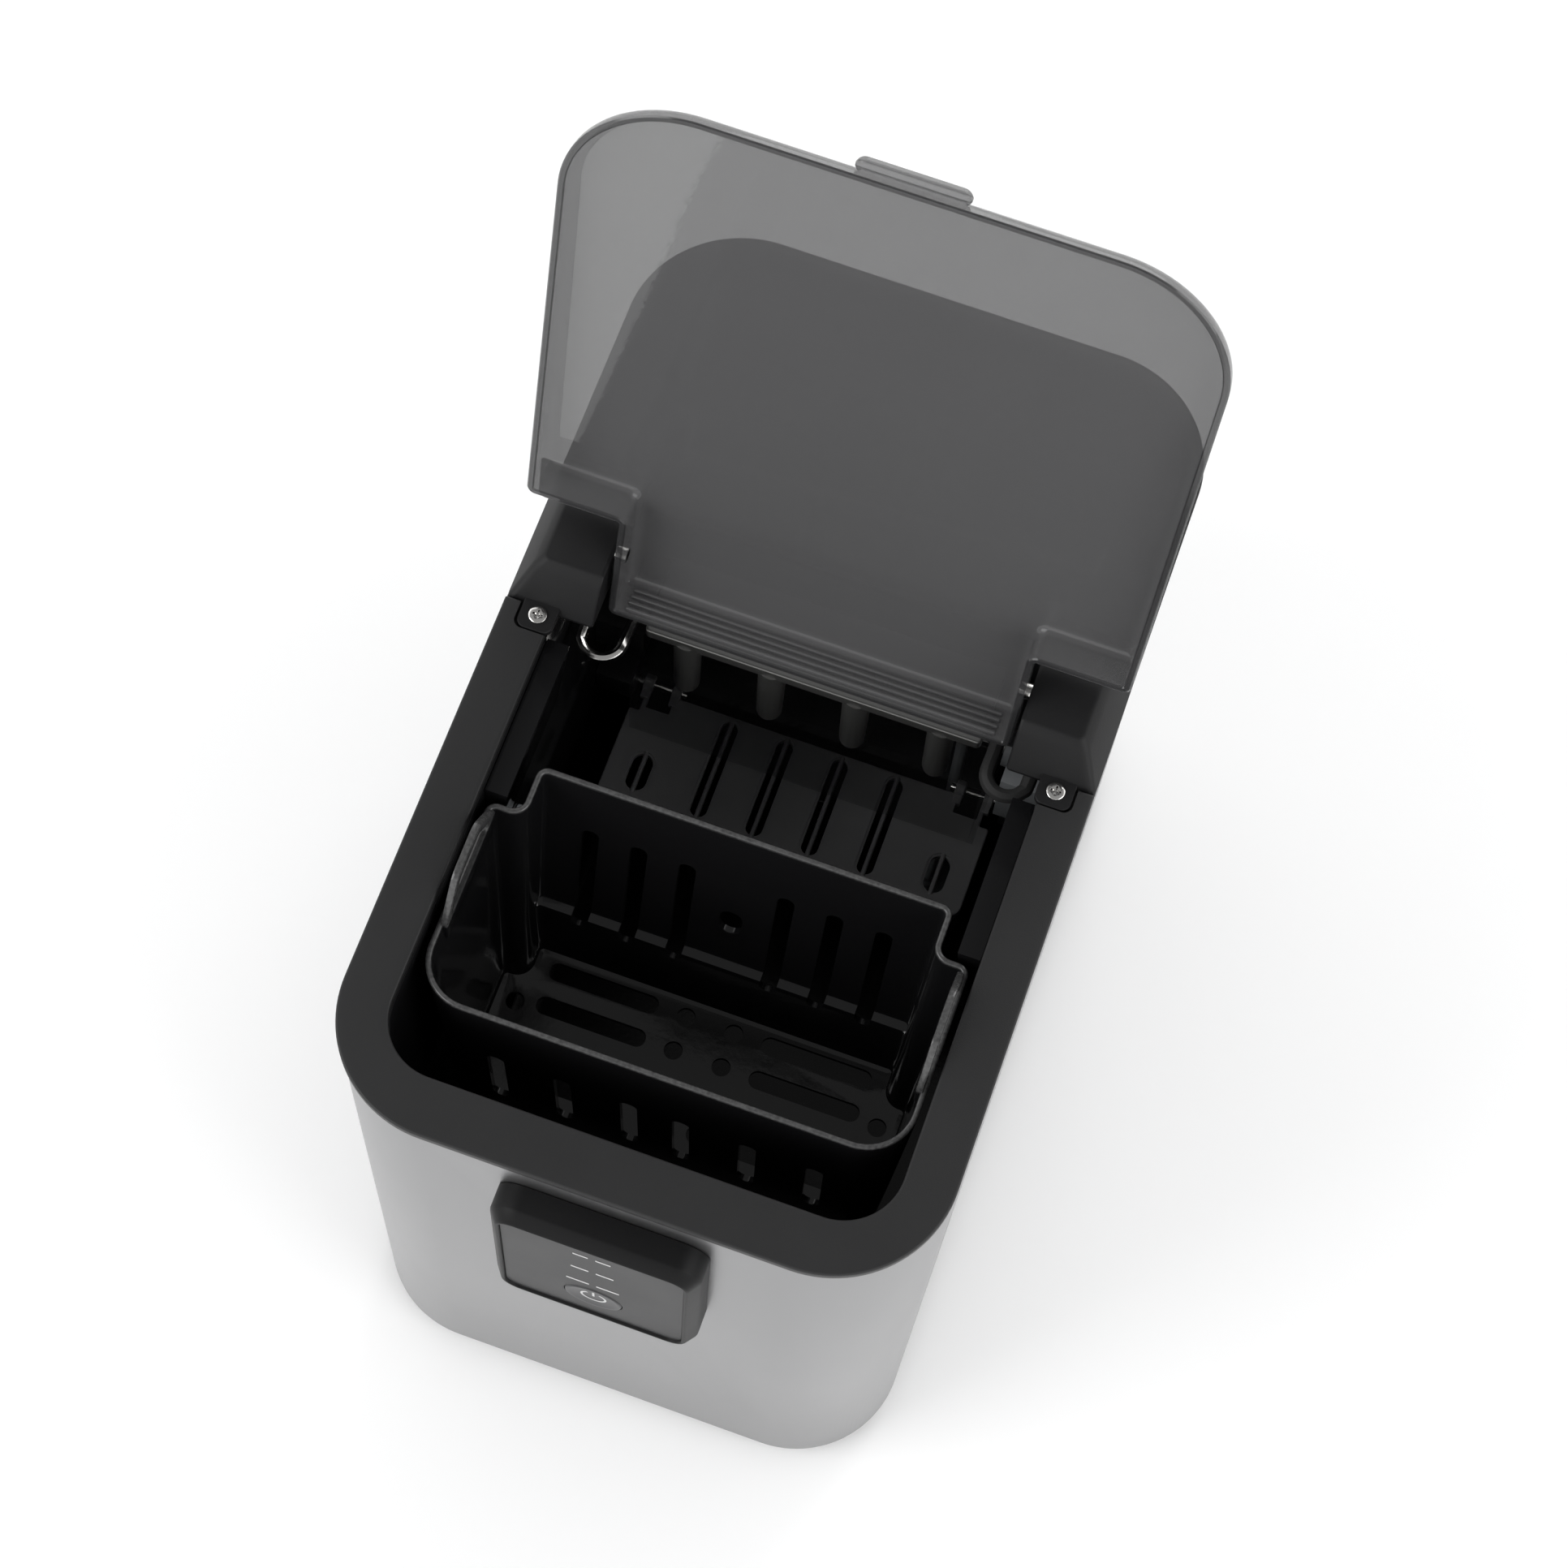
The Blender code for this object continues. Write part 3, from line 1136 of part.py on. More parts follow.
def plumbing():
    """Drier, hot gas valve and the tubes between compressor, condenser and cold plate."""
    drier_x, drier_y = -0.078, REAR - 0.050
    low = FOOT_HEIGHT + 0.160
    profile = ((0.0024, 0.0), (0.0030, 0.006), (0.0085, 0.014), (0.0085, 0.058), (0.0030, 0.066), (0.0024, 0.072))
    finish("filter_drier", turned(profile, (drier_x, drier_y, low), steps=18), "copper_tube")
    valve_z = FOOT_HEIGHT + 0.190
    valve = finish(
        "hot_gas_valve",
        box(-0.010, 0.014, REAR - 0.086, REAR - 0.064, valve_z, valve_z + 0.026),
        "motor_grey",
    )
    join(valve, rod(0.005, (0.002, REAR - 0.075, valve_z - 0.012), 0.014, steps=14))
    cx, cy = COMPRESSOR_X, REAR - 0.055
    top = FOOT_HEIGHT + 0.0145 + COMPRESSOR_HEIGHT
    left = CONDENSER_RIGHT - CONDENSER_WIDTH
    condenser_top = FOOT_HEIGHT + CONDENSER_BASE + CONDENSER_HEIGHT
    tube("discharge_tube", [
        (cx + 0.012, cy + 0.012, top + 0.001), (cx + 0.012, cy + 0.012, top + 0.016),
        (cx + 0.040, cy + 0.024, top + 0.026), (left + 0.008, REAR - 0.018, top + 0.024),
        (left + 0.010, REAR - 0.018, condenser_top + 0.001),
    ], TUBE_RADIUS, "copper_tube")
    tube("suction_tube", [
        (TUBE_EXIT, LINER_BACK + 0.0100, below(0.038)), (TUBE_EXIT, LINER_BACK + 0.018, below(0.040)),
        (TUBE_EXIT - 0.020, LINER_BACK + 0.026, below(0.046)), (0.010, LINER_BACK + 0.028, below(0.060)),
        (cx - 0.004, cy - 0.020, below(0.085)), (cx - 0.012, cy - 0.012, top + 0.030),
        (cx - 0.012, cy - 0.012, top + 0.001),
    ], TUBE_RADIUS, "copper_tube")
    tube("hot_gas_tube", [
        (-TUBE_EXIT, LINER_BACK + 0.0100, below(0.038)), (-TUBE_EXIT, LINER_BACK + 0.020, below(0.040)),
        (-TUBE_EXIT + 0.020, LINER_BACK + 0.024, below(0.030)), (-0.030, REAR - 0.080, below(0.030)),
        (0.002, REAR - 0.075, below(0.040)), (0.002, REAR - 0.075, valve_z + 0.0265),
    ], TUBE_RADIUS, "copper_tube")


def electronics():
    low = FOOT_HEIGHT + 0.195
    x0, x1 = 0.018, 0.088
    y0, y1 = REAR - 0.060, REAR - 0.015
    finish("power_board", box(x0, x1, y0, y1, low, low + BOARD_THICK), "board_green")
    block = box(x0 + 0.010, x0 + 0.040, y0 + 0.008, y1 - 0.010, low + BOARD_THICK + GAP, low + 0.026)
    finish("transformer", block, "motor_grey")


def build():
    for old in list(bpy.data.objects):
        bpy.data.objects.remove(old, do_unlink=True)
    feet()
    base_pan()
    wrapper_shell()
    rear_panel()
    cord_gland()
    cap = drain_parts()
    hung([cap], "drain_cap_axis", (DRAIN_X, REAR, DRAIN_Z))
    top_frame()
    rear_cover()
    cover_screws()
    lid_pins()
    lid()
    liner_tub()
    insulation()
    hung([basket()], "basket_axis", (0.0, back(BASKET_FRONT), below(BASKET_FLOOR_DROP)))
    basket_rails()
    ice_sensors()
    control_housing()
    control_fascia()
    hung([power_button()], "power_button_axis", (0.0, FRONT - MODULE_PROUD, below(BUTTON_DROP)))
    control_board()
    evaporator()
    evaporator_cover()
    hung([water_tray(), tray_shaft()], "tray_axis", (0.0, back(TRAY_AXIS_BACK), below(TRAY_AXIS_DROP)))
    tray_bearing()
    tray_motor()
    hung([ice_shovel()], "shovel_axis", (0.0, back(SHOVEL_AXIS_BACK), below(SHOVEL_AXIS_DROP)))
    shovel_rods()
    shovel_brackets()
    water_pump()
    pump_hose()
    refrigerant_tubes()
    compressor()
    condenser()
    fan()
    plumbing()
    electronics()


build()
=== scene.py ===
"""Looks of a countertop ice maker with its lid open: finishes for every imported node, and finer
surfaces for the pieces that meet the eye. Metres, +Z up, the front towards -Y."""

from __future__ import annotations

import logging
import math
from dataclasses import dataclass, field
from enum import Enum
from typing import ClassVar

import bmesh
import bpy
import numpy as np
from mathutils import Matrix, Vector
from numpy.typing import NDArray

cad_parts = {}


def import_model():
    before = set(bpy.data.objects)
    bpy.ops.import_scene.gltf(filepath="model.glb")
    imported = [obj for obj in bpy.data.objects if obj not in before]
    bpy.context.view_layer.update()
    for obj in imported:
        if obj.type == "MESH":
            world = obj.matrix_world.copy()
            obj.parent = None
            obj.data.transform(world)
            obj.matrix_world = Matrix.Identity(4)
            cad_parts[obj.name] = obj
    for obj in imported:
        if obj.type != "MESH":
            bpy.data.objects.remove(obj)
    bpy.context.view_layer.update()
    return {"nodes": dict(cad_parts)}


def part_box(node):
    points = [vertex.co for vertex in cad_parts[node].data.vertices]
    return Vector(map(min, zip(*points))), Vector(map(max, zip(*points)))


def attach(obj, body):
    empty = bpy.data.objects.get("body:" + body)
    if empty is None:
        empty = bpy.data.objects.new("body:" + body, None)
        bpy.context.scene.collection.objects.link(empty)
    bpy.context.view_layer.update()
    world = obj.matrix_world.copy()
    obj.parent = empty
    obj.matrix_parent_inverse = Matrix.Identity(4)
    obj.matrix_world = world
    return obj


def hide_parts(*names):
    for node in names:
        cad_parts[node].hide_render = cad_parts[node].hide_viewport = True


Array = NDArray[np.float64]
Piece = bpy.types.Object
Tree = bpy.types.NodeTree
Socket = bpy.types.NodeSocket
LOG = logging.getLogger("ice_maker")
MM = 0.001


class Side(Enum):
    """The two sides of the machine, seen from the front."""

    LEFT = -1
    RIGHT = 1

    @property
    def word(self) -> str:
        """The side's name in a piece's name."""
        return self.name.lower()


def mm(*sizes: float) -> tuple[float, ...]:
    """Millimetres in metres."""
    return tuple(size * MM for size in sizes)


def put(name: str, data: bpy.types.ID) -> Piece:
    """A new object at the origin that holds this data."""
    made = bpy.data.objects.new(name, data)
    bpy.context.scene.collection.objects.link(made)
    return made


# Surfaces


def turns(points: Array) -> tuple[Array, Array, Array, Array]:
    """How a line turns at each of its points.

    Args:
        points: Corners, one row each, in two dimensions.

    Returns:
        The normals of the sides before and after each corner, and the sine and cosine of its turn.
    """
    before = points - np.roll(points, 1, axis=0)
    after = np.roll(points, -1, axis=0) - points
    before /= np.maximum(np.linalg.norm(before, axis=1), 1e-12)[:, None]
    after /= np.maximum(np.linalg.norm(after, axis=1), 1e-12)[:, None]
    cross = before[:, 0] * after[:, 1] - before[:, 1] * after[:, 0]
    dot = (before * after).sum(axis=1)
    normal_in, normal_out = (np.stack([-side[:, 1], side[:, 0]], axis=1) for side in (before, after))
    return normal_in, normal_out, cross, dot


def fillet(points: Array, radii: Array, steps: int, closed: bool) -> Array:
    """Rounds the corners of a polygon or of an open line.

    Each corner is replaced by the arc that touches both of its sides: its centre lies on the bisector
    at the radius from each side, and the arc turns from one side's normal to the other's.

    Args:
        points: Corners, one row each, in two dimensions.
        radii: Radius at each corner.
        steps: Points on each arc.
        closed: Whether the last corner joins the first.

    Returns:
        The rounded line, one row for each point.
    """
    normal_in, normal_out, cross, dot = turns(points)
    turn = np.arctan2(cross, dot)
    hand = np.where(cross < 0, -1.0, 1.0)
    towards = (normal_in + normal_out) / np.maximum(1 + dot, 1e-6)[:, None]
    centre = points + (hand * radii)[:, None] * towards
    start = np.arctan2(-hand * normal_in[:, 1], -hand * normal_in[:, 0])
    angle = start[:, None] + turn[:, None] * np.linspace(0.0, 1.0, steps)
    arcs = centre[:, None] + radii[:, None, None] * np.stack([np.cos(angle), np.sin(angle)], axis=2)
    if closed:
        return arcs.reshape(-1, 2)
    return np.concatenate([points[:1], arcs[1:-1].reshape(-1, 2), points[-1:]])


@dataclass(frozen=True)
class Outline:
    """A closed polygon in plan, anticlockwise, with a radius at each corner."""

    corners: tuple[tuple[float, float], ...]
    radii: tuple[float, ...]
    steps: int = 14

    def ring(self, inset: float = 0.0) -> Array:
        """The rounded outline, moved inwards.

        Each corner moves along its bisector so that both sides move by the inset. A convex radius
        shrinks by it and a hollow one grows by it.

        Args:
            inset: Distance inwards.

        Returns:
            Points of the outline, one row each.
        """
        points = np.array(self.corners, float)
        normal_in, normal_out, cross, dot = turns(points)
        moved = points + inset * (normal_in + normal_out) / (1 + dot)[:, None]
        radii = np.maximum(np.array(self.radii, float) - np.sign(cross) * inset, 0.05 * MM)
        return fillet(moved, radii, self.steps, closed=True)


def rectangle(
    x0: float, x1: float, y0: float, y1: float, radius: float | tuple[float, ...], steps: int = 8
) -> Outline:
    """A rectangle rounded with one radius, or with four from its lowest corner on."""
    radii = radius if isinstance(radius, tuple) else (radius,) * 4
    return Outline(((x0, y0), (x1, y0), (x1, y1), (x0, y1)), radii, steps)


def lift(ring: Array, height: float | Array) -> Array:
    """Gives an outline its height, which may differ from point to point."""
    return np.column_stack([ring, np.broadcast_to(height, len(ring))])


@dataclass
class Surface:
    """Points and faces of a piece while it is being made."""

    points: Array
    quads: NDArray[np.int64]
    caps: list[NDArray[np.int64]] = field(default_factory=list)

    def moved(self, matrix: Matrix) -> Surface:
        """The surface carried by a matrix."""
        turn = np.array(matrix, float)
        return Surface(self.points @ turn[:3, :3].T + turn[:3, 3], self.quads, self.caps)

    def piece(self, name: str, angle: float = 35.0) -> Piece:
        """Makes the Blender object.

        Args:
            name: The piece's name.
            angle: Edges sharper than this many degrees stay sharp.

        Returns:
            The new object, at the origin, its faces pointing outwards.
        """
        sizes = np.concatenate([np.full(len(self.quads), 4), [len(cap) for cap in self.caps]]).astype(np.int32)
        loops = np.concatenate([self.quads.ravel(), *self.caps]).astype(np.int32)
        mesh = bpy.data.meshes.new(name)
        mesh.vertices.add(len(self.points))
        mesh.vertices.foreach_set("co", self.points.astype(np.float32).ravel())
        mesh.loops.add(len(loops))
        mesh.loops.foreach_set("vertex_index", loops)
        mesh.polygons.add(len(sizes))
        mesh.polygons.foreach_set("loop_start", np.concatenate([[0], np.cumsum(sizes)[:-1]]).astype(np.int32))
        mesh.update(calc_edges=True)
        mesh.validate()
        tidy(mesh, angle)
        return put(name, mesh)


def tidy(mesh: bpy.types.Mesh, angle: float) -> None:
    """Merges doubles, points the faces outwards and shades the round stretches smooth."""
    work = bmesh.new()
    work.from_mesh(mesh)
    bmesh.ops.remove_doubles(work, verts=work.verts, dist=1e-6)
    bmesh.ops.recalc_face_normals(work, faces=work.faces)
    work.to_mesh(mesh)
    work.free()
    mesh.shade_smooth()
    mesh.set_sharp_from_angle(angle=math.radians(angle))


def loft(rings: list[Array], capped: bool = True, joined: bool = False) -> Surface:
    """A surface through rings with the same number of points.

    Point (i, j) of the surface is point j of ring i; every four neighbours make a face.

    Args:
        rings: Rings of points in three dimensions.
        capped: Whether the first and the last ring are closed with a face.
        joined: Whether the last ring joins the first, as in a band.

    Returns:
        The surface.
    """
    grid = np.stack(rings)
    rows, columns = grid.shape[:2]
    index = np.arange(rows * columns).reshape(rows, columns)
    low = index if joined else index[:-1]
    high = np.roll(index, -1, axis=0) if joined else index[1:]
    quads = np.stack([low, np.roll(low, -1, axis=1), np.roll(high, -1, axis=1), high], axis=2).reshape(-1, 4)
    caps = [index[0][::-1], index[-1]] if capped and not joined else []
    return Surface(grid.reshape(-1, 3), quads, caps)


def together(surfaces: list[Surface]) -> Surface:
    """Several surfaces as one."""
    offsets = np.cumsum([0] + [len(s.points) for s in surfaces])
    quads = np.concatenate([s.quads + o for s, o in zip(surfaces, offsets)])
    caps = [cap + o for s, o in zip(surfaces, offsets) for cap in s.caps]
    return Surface(np.concatenate([s.points for s in surfaces]), quads, caps)


def slab(outline: Outline, section: Array) -> Surface:
    """An outline carried up a section of (inset, height) rows, closed at both ends."""
    return loft([lift(outline.ring(inset), height) for inset, height in section])


def soft_slab(outline: Outline, z0: float, z1: float, low: float, high: float, steps: int = 5) -> Surface:
    """A plate whose lower and upper edges are rolled over at the two radii."""
    reach = low + high
    section = np.array([[reach, z0], [0.0, z0], [0.0, z1], [reach, z1]])
    return slab(outline, fillet(section, np.array([0.0, low, high, 0.0]), steps, closed=False))


def prism(outline: Outline, z0: float, z1: float) -> Surface:
    """A plain upright solid."""
    return loft([lift(outline.ring(), z0), lift(outline.ring(), z1)])


def turned(section: Array, centre: tuple[float, float, float], axis: str = "Z", steps: int = 48) -> Surface:
    """A surface of revolution.

    Point (i, j) is the section's row i, a radius and a height, turned by j steps about the axis.

    Args:
        section: Rows of (radius, height).
        centre: Where height 0 lies.
        axis: X, Y or Z.
        steps: Points round the axis.

    Returns:
        The surface, closed at both ends.
    """
    angle = np.linspace(0.0, 2 * math.pi, steps, endpoint=False)
    circle = np.stack([np.cos(angle), np.sin(angle)], axis=1)
    rings = [lift(circle * max(radius, 1e-6), height) for radius, height in section]
    turn = {
        "Z": Matrix.Identity(4),
        "X": Matrix.Rotation(math.pi / 2, 4, "Y"),
        "Y": Matrix.Rotation(-math.pi / 2, 4, "X"),
    }[axis]
    return loft(rings).moved(Matrix.Translation(centre) @ turn)


UPRIGHT = Matrix(((1, 0, 0, 0), (0, 0, 1, 0), (0, 1, 0, 0), (0, 0, 0, 1)))
SIDEWAYS = Matrix(((0, 0, 1, 0), (1, 0, 0, 0), (0, 1, 0, 0), (0, 0, 0, 1)))


def carve(piece: Piece, surface: Surface, operation: str = "DIFFERENCE", angle: float = 35.0) -> None:
    """Cuts a surface out of a piece, or joins it on, and keeps the result as the piece's mesh."""
    tool = surface.piece("tool")
    modifier = piece.modifiers.new("carve", "BOOLEAN")
    modifier.operation = operation
    modifier.solver = "EXACT"
    modifier.object = tool
    graph = bpy.context.evaluated_depsgraph_get()
    made = bpy.data.meshes.new_from_object(piece.evaluated_get(graph))
    piece.modifiers.remove(modifier)
    piece.data = made
    bpy.data.objects.remove(tool)
    made.shade_smooth()
    made.set_sharp_from_angle(angle=math.radians(angle))


def ease(piece: Piece, width: float, angle: float) -> None:
    """Breaks a piece's edges that are sharper than this many degrees with a small bevel."""
    modifier = piece.modifiers.new("ease", "BEVEL")
    modifier.width = width
    modifier.segments = 2
    modifier.limit_method = "ANGLE"
    modifier.angle_limit = math.radians(angle)
    modifier.harden_normals = False


def other_side(shape: Surface, side: Side) -> Surface:
    """A shape drawn on the right, mirrored where the left one is asked for."""
    return shape if side is Side.RIGHT else shape.moved(Matrix.Diagonal((-1, 1, 1, 1)))


# Finishes


def fill(node: bpy.types.Node, values: dict[str, float | tuple[float, ...]]) -> None:
    """Sets a node's inputs by name."""
    for name, value in values.items():
        node.inputs[name].default_value = value


def mixed(tree: Tree, share: Socket, low: Socket | tuple, high: Socket | tuple) -> Socket:
    """Two colours, each a socket or a constant, mixed by a share."""
    mix = tree.nodes.new("ShaderNodeMix")
    mix.data_type = "RGBA"
    tree.links.new(share, mix.inputs[0])
    for colour, end in ((low, mix.inputs[6]), (high, mix.inputs[7])):
        if isinstance(colour, tuple):
            end.default_value = colour
        else:
            tree.links.new(colour, end)
    return mix.outputs[2]


@dataclass(frozen=True)
class Finish:
    """A moulded or painted surface: its colour drifts a little, its grain is fine noise in the bump.

    grain is the size of one grain in metres and relief the height of it, as a share of the bump's
    reach. blotch is how much the roughness varies over larger patches.
    """

    name: str
    colour: tuple[float, float, float]
    roughness: float
    metallic: float = 0.0
    grain: float = 0.0006
    relief: float = 0.15
    drift: float = 0.12
    blotch: float = 0.06
    coat: float = 0.0
    stretch: tuple[float, float, float] = (1.0, 1.0, 1.0)
    specular: float = 0.5
    patches: ClassVar[float] = 22.0

    def material(self) -> bpy.types.Material:
        """The Blender material, made once."""
        found = bpy.data.materials.get(self.name)
        return found if found else self.build()

    def build(self) -> bpy.types.Material:
        """Lays out the nodes."""
        made = bpy.data.materials.new(self.name)
        made.use_nodes = True
        tree = made.node_tree
        node, link = tree.nodes.new, tree.links.new
        shader = tree.nodes["Principled BSDF"]
        fill(shader, {
            "Metallic": self.metallic, "Coat Weight": self.coat, "Coat Roughness": 0.05,
            "Specular IOR Level": self.specular,
        })
        place = node("ShaderNodeTexCoord").outputs["Object"]
        mapping = node("ShaderNodeMapping")
        fill(mapping, {"Scale": self.stretch})
        link(place, mapping.inputs["Vector"])
        patches = self.noise(tree, place, self.patches, 3.0)
        grain = self.noise(tree, mapping.outputs["Vector"], 1.0 / self.grain, 2.0)
        low, high = (tuple(min(1.0, c * (1 + drift)) for c in self.colour) for drift in (-self.drift, self.drift))
        colour = mixed(tree, patches, (*low, 1.0), (*high, 1.0))
        link(self.tint(tree, place, colour), shader.inputs["Base Color"])
        rough = node("ShaderNodeMapRange")
        fill(rough, {"To Min": max(0.02, self.roughness - self.blotch), "To Max": self.roughness + self.blotch})
        link(patches, rough.inputs["Value"])
        link(rough.outputs["Result"], shader.inputs["Roughness"])
        bump = node("ShaderNodeBump")
        fill(bump, {"Strength": self.relief, "Distance": self.grain * 0.5})
        link(grain, bump.inputs["Height"])
        link(bump.outputs["Normal"], shader.inputs["Normal"])
        return made

    def tint(self, tree: Tree, place: Socket, colour: Socket) -> Socket:
        """A hook for finishes whose colour changes from place to place."""
        return colour

    @staticmethod
    def noise(tree: Tree, vector: Socket, scale: float, detail: float) -> Socket:
        """A noise texture's value.

        Args:
            tree: The material's nodes.
            vector: Where the noise is read.
            scale: Its frequency, per metre.
            detail: Its octaves.

        Returns:
            The factor socket.
        """
        noise = tree.nodes.new("ShaderNodeTexNoise")
        fill(noise, {"Scale": scale, "Detail": detail})
        tree.links.new(vector, noise.inputs["Vector"])
        return noise.outputs["Fac"]


@dataclass(frozen=True)
class PaintedRimHighlight(Finish):
    """A moulded finish painted pale above one height: a painted highlight along a basket's rim."""

    height: float = 0.0
    depth: float = 0.0012
    # pale is the grey of the painted highlight.
    pale: float = 0.12

    def tint(self, tree: Tree, place: Socket, colour: Socket) -> Socket:
        """Mixes towards a pale grey above the height, broken up by noise, as the painted rim highlight."""
        split = tree.nodes.new("ShaderNodeSeparateXYZ")
        tree.links.new(place, split.inputs["Vector"])
        reach = tree.nodes.new("ShaderNodeMapRange")
        fill(reach, {"From Min": self.height - self.depth, "From Max": self.height})
        tree.links.new(split.outputs["Z"], reach.inputs["Value"])
        broken = tree.nodes.new("ShaderNodeMath")
        broken.operation = "MULTIPLY"
        tree.links.new(reach.outputs["Result"], broken.inputs[0])
        tree.links.new(self.noise(tree, place, 700.0, 4.0), broken.inputs[1])
        return mixed(tree, broken.outputs["Value"], colour, (self.pale, self.pale, self.pale, 1.0))


@dataclass(frozen=True)
class Smoked(Finish):
    """Smoked clear acrylic: each of its faces hides part of what lies behind and adds a slight haze."""

    cover: float = 0.66
    ior: float = 1.5

    def build(self) -> bpy.types.Material:
        """The moulded layout, let through."""
        made = super().build()
        fill(made.node_tree.nodes["Principled BSDF"], {"Alpha": self.cover, "IOR": self.ior})
        return made


STEEL = Finish("Brushed steel", (0.315, 0.315, 0.32), 0.34, 1.0, 0.00035, 0.05, 0.03, 0.03, stretch=(1, 1, 0.02))
FRAME = Finish("Black frame", (0.013, 0.013, 0.0135), 0.50, grain=0.0005, relief=0.22, specular=0.38)
COVER = Finish("Black cover", (0.009, 0.009, 0.0095), 0.48, grain=0.0005, relief=0.20, specular=0.2)
HOUSING = Finish("Housing black", (0.0065, 0.0065, 0.0068), 0.44, grain=0.0004, relief=0.12, specular=0.14)
FASCIA = Finish("Fascia overlay", (0.020, 0.020, 0.0208), 0.40, grain=0.0004, relief=0.06, specular=0.17)
BUTTON = Finish("Button face", (0.036, 0.036, 0.038), 0.38, grain=0.0004, relief=0.06, specular=0.3)
PRINT = Finish("Pale print", (0.55, 0.55, 0.55), 0.55, relief=0.0)
LINER = Finish("Liner gloss", (0.006, 0.006, 0.0065), 0.16, relief=0.03, grain=0.002, coat=0.05, specular=0.22)
SATIN = Finish("Satin moulding", (0.014, 0.014, 0.0145), 0.34, grain=0.0005, relief=0.10)
SHOVEL = Finish("Shovel satin", (0.19, 0.19, 0.194), 0.36, grain=0.0006, relief=0.12)
CHROME = Finish("Bright metal", (0.74, 0.73, 0.71), 0.14, 1.0, 0.001, 0.03)
COLD = Finish("Nickel plate", (0.22, 0.22, 0.215), 0.30, 0.8, 0.0008, 0.08)
COPPER = Finish("Drawn copper", (0.70, 0.36, 0.22), 0.30, 1.0, 0.0008, 0.06, 0.18)
FINS = Finish("Mill aluminium", (0.66, 0.67, 0.68), 0.38, 1.0, 0.0006, 0.10)
PAINT = Finish("Compressor paint", (0.012, 0.012, 0.013), 0.26, grain=0.002, relief=0.12, coat=0.4)
GREY = Finish("Grey sheet", (0.16, 0.165, 0.17), 0.46, grain=0.0006, relief=0.12)
MOTOR = Finish("Motor grey", (0.22, 0.23, 0.24), 0.50, grain=0.0006, relief=0.16)
BOARD = Finish("Solder mask", (0.02, 0.11, 0.05), 0.36, grain=0.0008, relief=0.10, coat=0.3)
FOAM = Finish("Foam board", (0.74, 0.74, 0.69), 0.88, grain=0.0016, relief=0.5)
RUBBER = Finish("Soft rubber", (0.018, 0.018, 0.018), 0.72, grain=0.0005, relief=0.25)
HOSE = Finish("Milky silicone", (0.62, 0.65, 0.67), 0.38, grain=0.001, relief=0.05)
LENS = Finish("Lamp lens", (0.62, 0.65, 0.68), 0.20, relief=0.02, coat=0.6)
ACRYLIC = Smoked("Smoked acrylic", (0.105, 0.105, 0.107), 0.05, grain=0.004, relief=0.01, blotch=0.01, drift=0.03)
EDGE = Smoked("Acrylic edge", (0.03, 0.03, 0.031), 0.10, grain=0.004, relief=0.01, cover=0.86)
CLEAR = Smoked("Clear tray", (0.03, 0.03, 0.031), 0.08, grain=0.003, relief=0.01, blotch=0.02, cover=0.16)


def pairs(*names: str) -> tuple[str, ...]:
    """The left and the right node of each name."""
    return tuple(f"{name}_{side.word}" for name in names for side in Side)


CARRIED: dict[Finish, tuple[str, ...]] = {
    GREY: ("base_pan", "rear_panel", "compressor_stand", "fan_bracket"),
    LINER: ("liner_tub", *pairs("basket_rail")),
    SATIN: ("evaporator_cover", *pairs("shovel_bracket"), "tray_bearing", "fan_shroud"),
    CLEAR: ("water_tray",),
    CHROME: (*pairs("lid_pin", "shovel_rod"), "tray_shaft", "evaporator_tube", *pairs("cover_screw")),
    COPPER: ("filter_drier", "hot_gas_valve", "discharge_tube", "suction_tube", "hot_gas_tube"),
    FINS: ("condenser",),
    PAINT: ("compressor",),
    MOTOR: ("tray_motor", "water_pump", "fan_wheel", "fan_motor", "transformer"),
    BOARD: ("control_board", "power_board"),
    FOAM: ("insulation_jacket",),
    RUBBER: (*pairs("foot_front", "foot_rear"), "suction_sleeve", "drain_cap", "cord_gland"),
    HOSE: ("pump_hose", "drain_tube"),
    LENS: ("status_lamp_1", "status_lamp_2", "status_lamp_3", *pairs("ice_sensor")),
}


def dress(piece: Piece, finish: Finish, body: str = "", stands_for: str = "") -> None:
    """Gives a piece its finish and, where it is new, its body, and hides the CAD node that it replaces.

    Args:
        piece: The object.
        finish: Its finish.
        body: The body that it rides on.
        stands_for: The CAD node that it replaces.
    """
    piece.data.materials.clear()
    piece.data.materials.append(finish.material())
    if body:
        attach(piece, body)
    if stands_for:
        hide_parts(stands_for)
    LOG.info("%s: %s", piece.name, finish.name)


def carry(nodes: dict[str, Piece]) -> None:
    """Dresses the CAD nodes that stay, welding and smoothing what they show."""
    for finish, names in CARRIED.items():
        for name in names:
            node = nodes[name]
            weld = node.modifiers.new("weld", "WELD")
            weld.merge_threshold = 1e-6
            ease(node, 0.3 * MM, 35.0)
            split = node.modifiers.new("split", "EDGE_SPLIT")
            split.split_angle = math.radians(40)
            node.data.shade_smooth()
            dress(node, finish)


# The machine


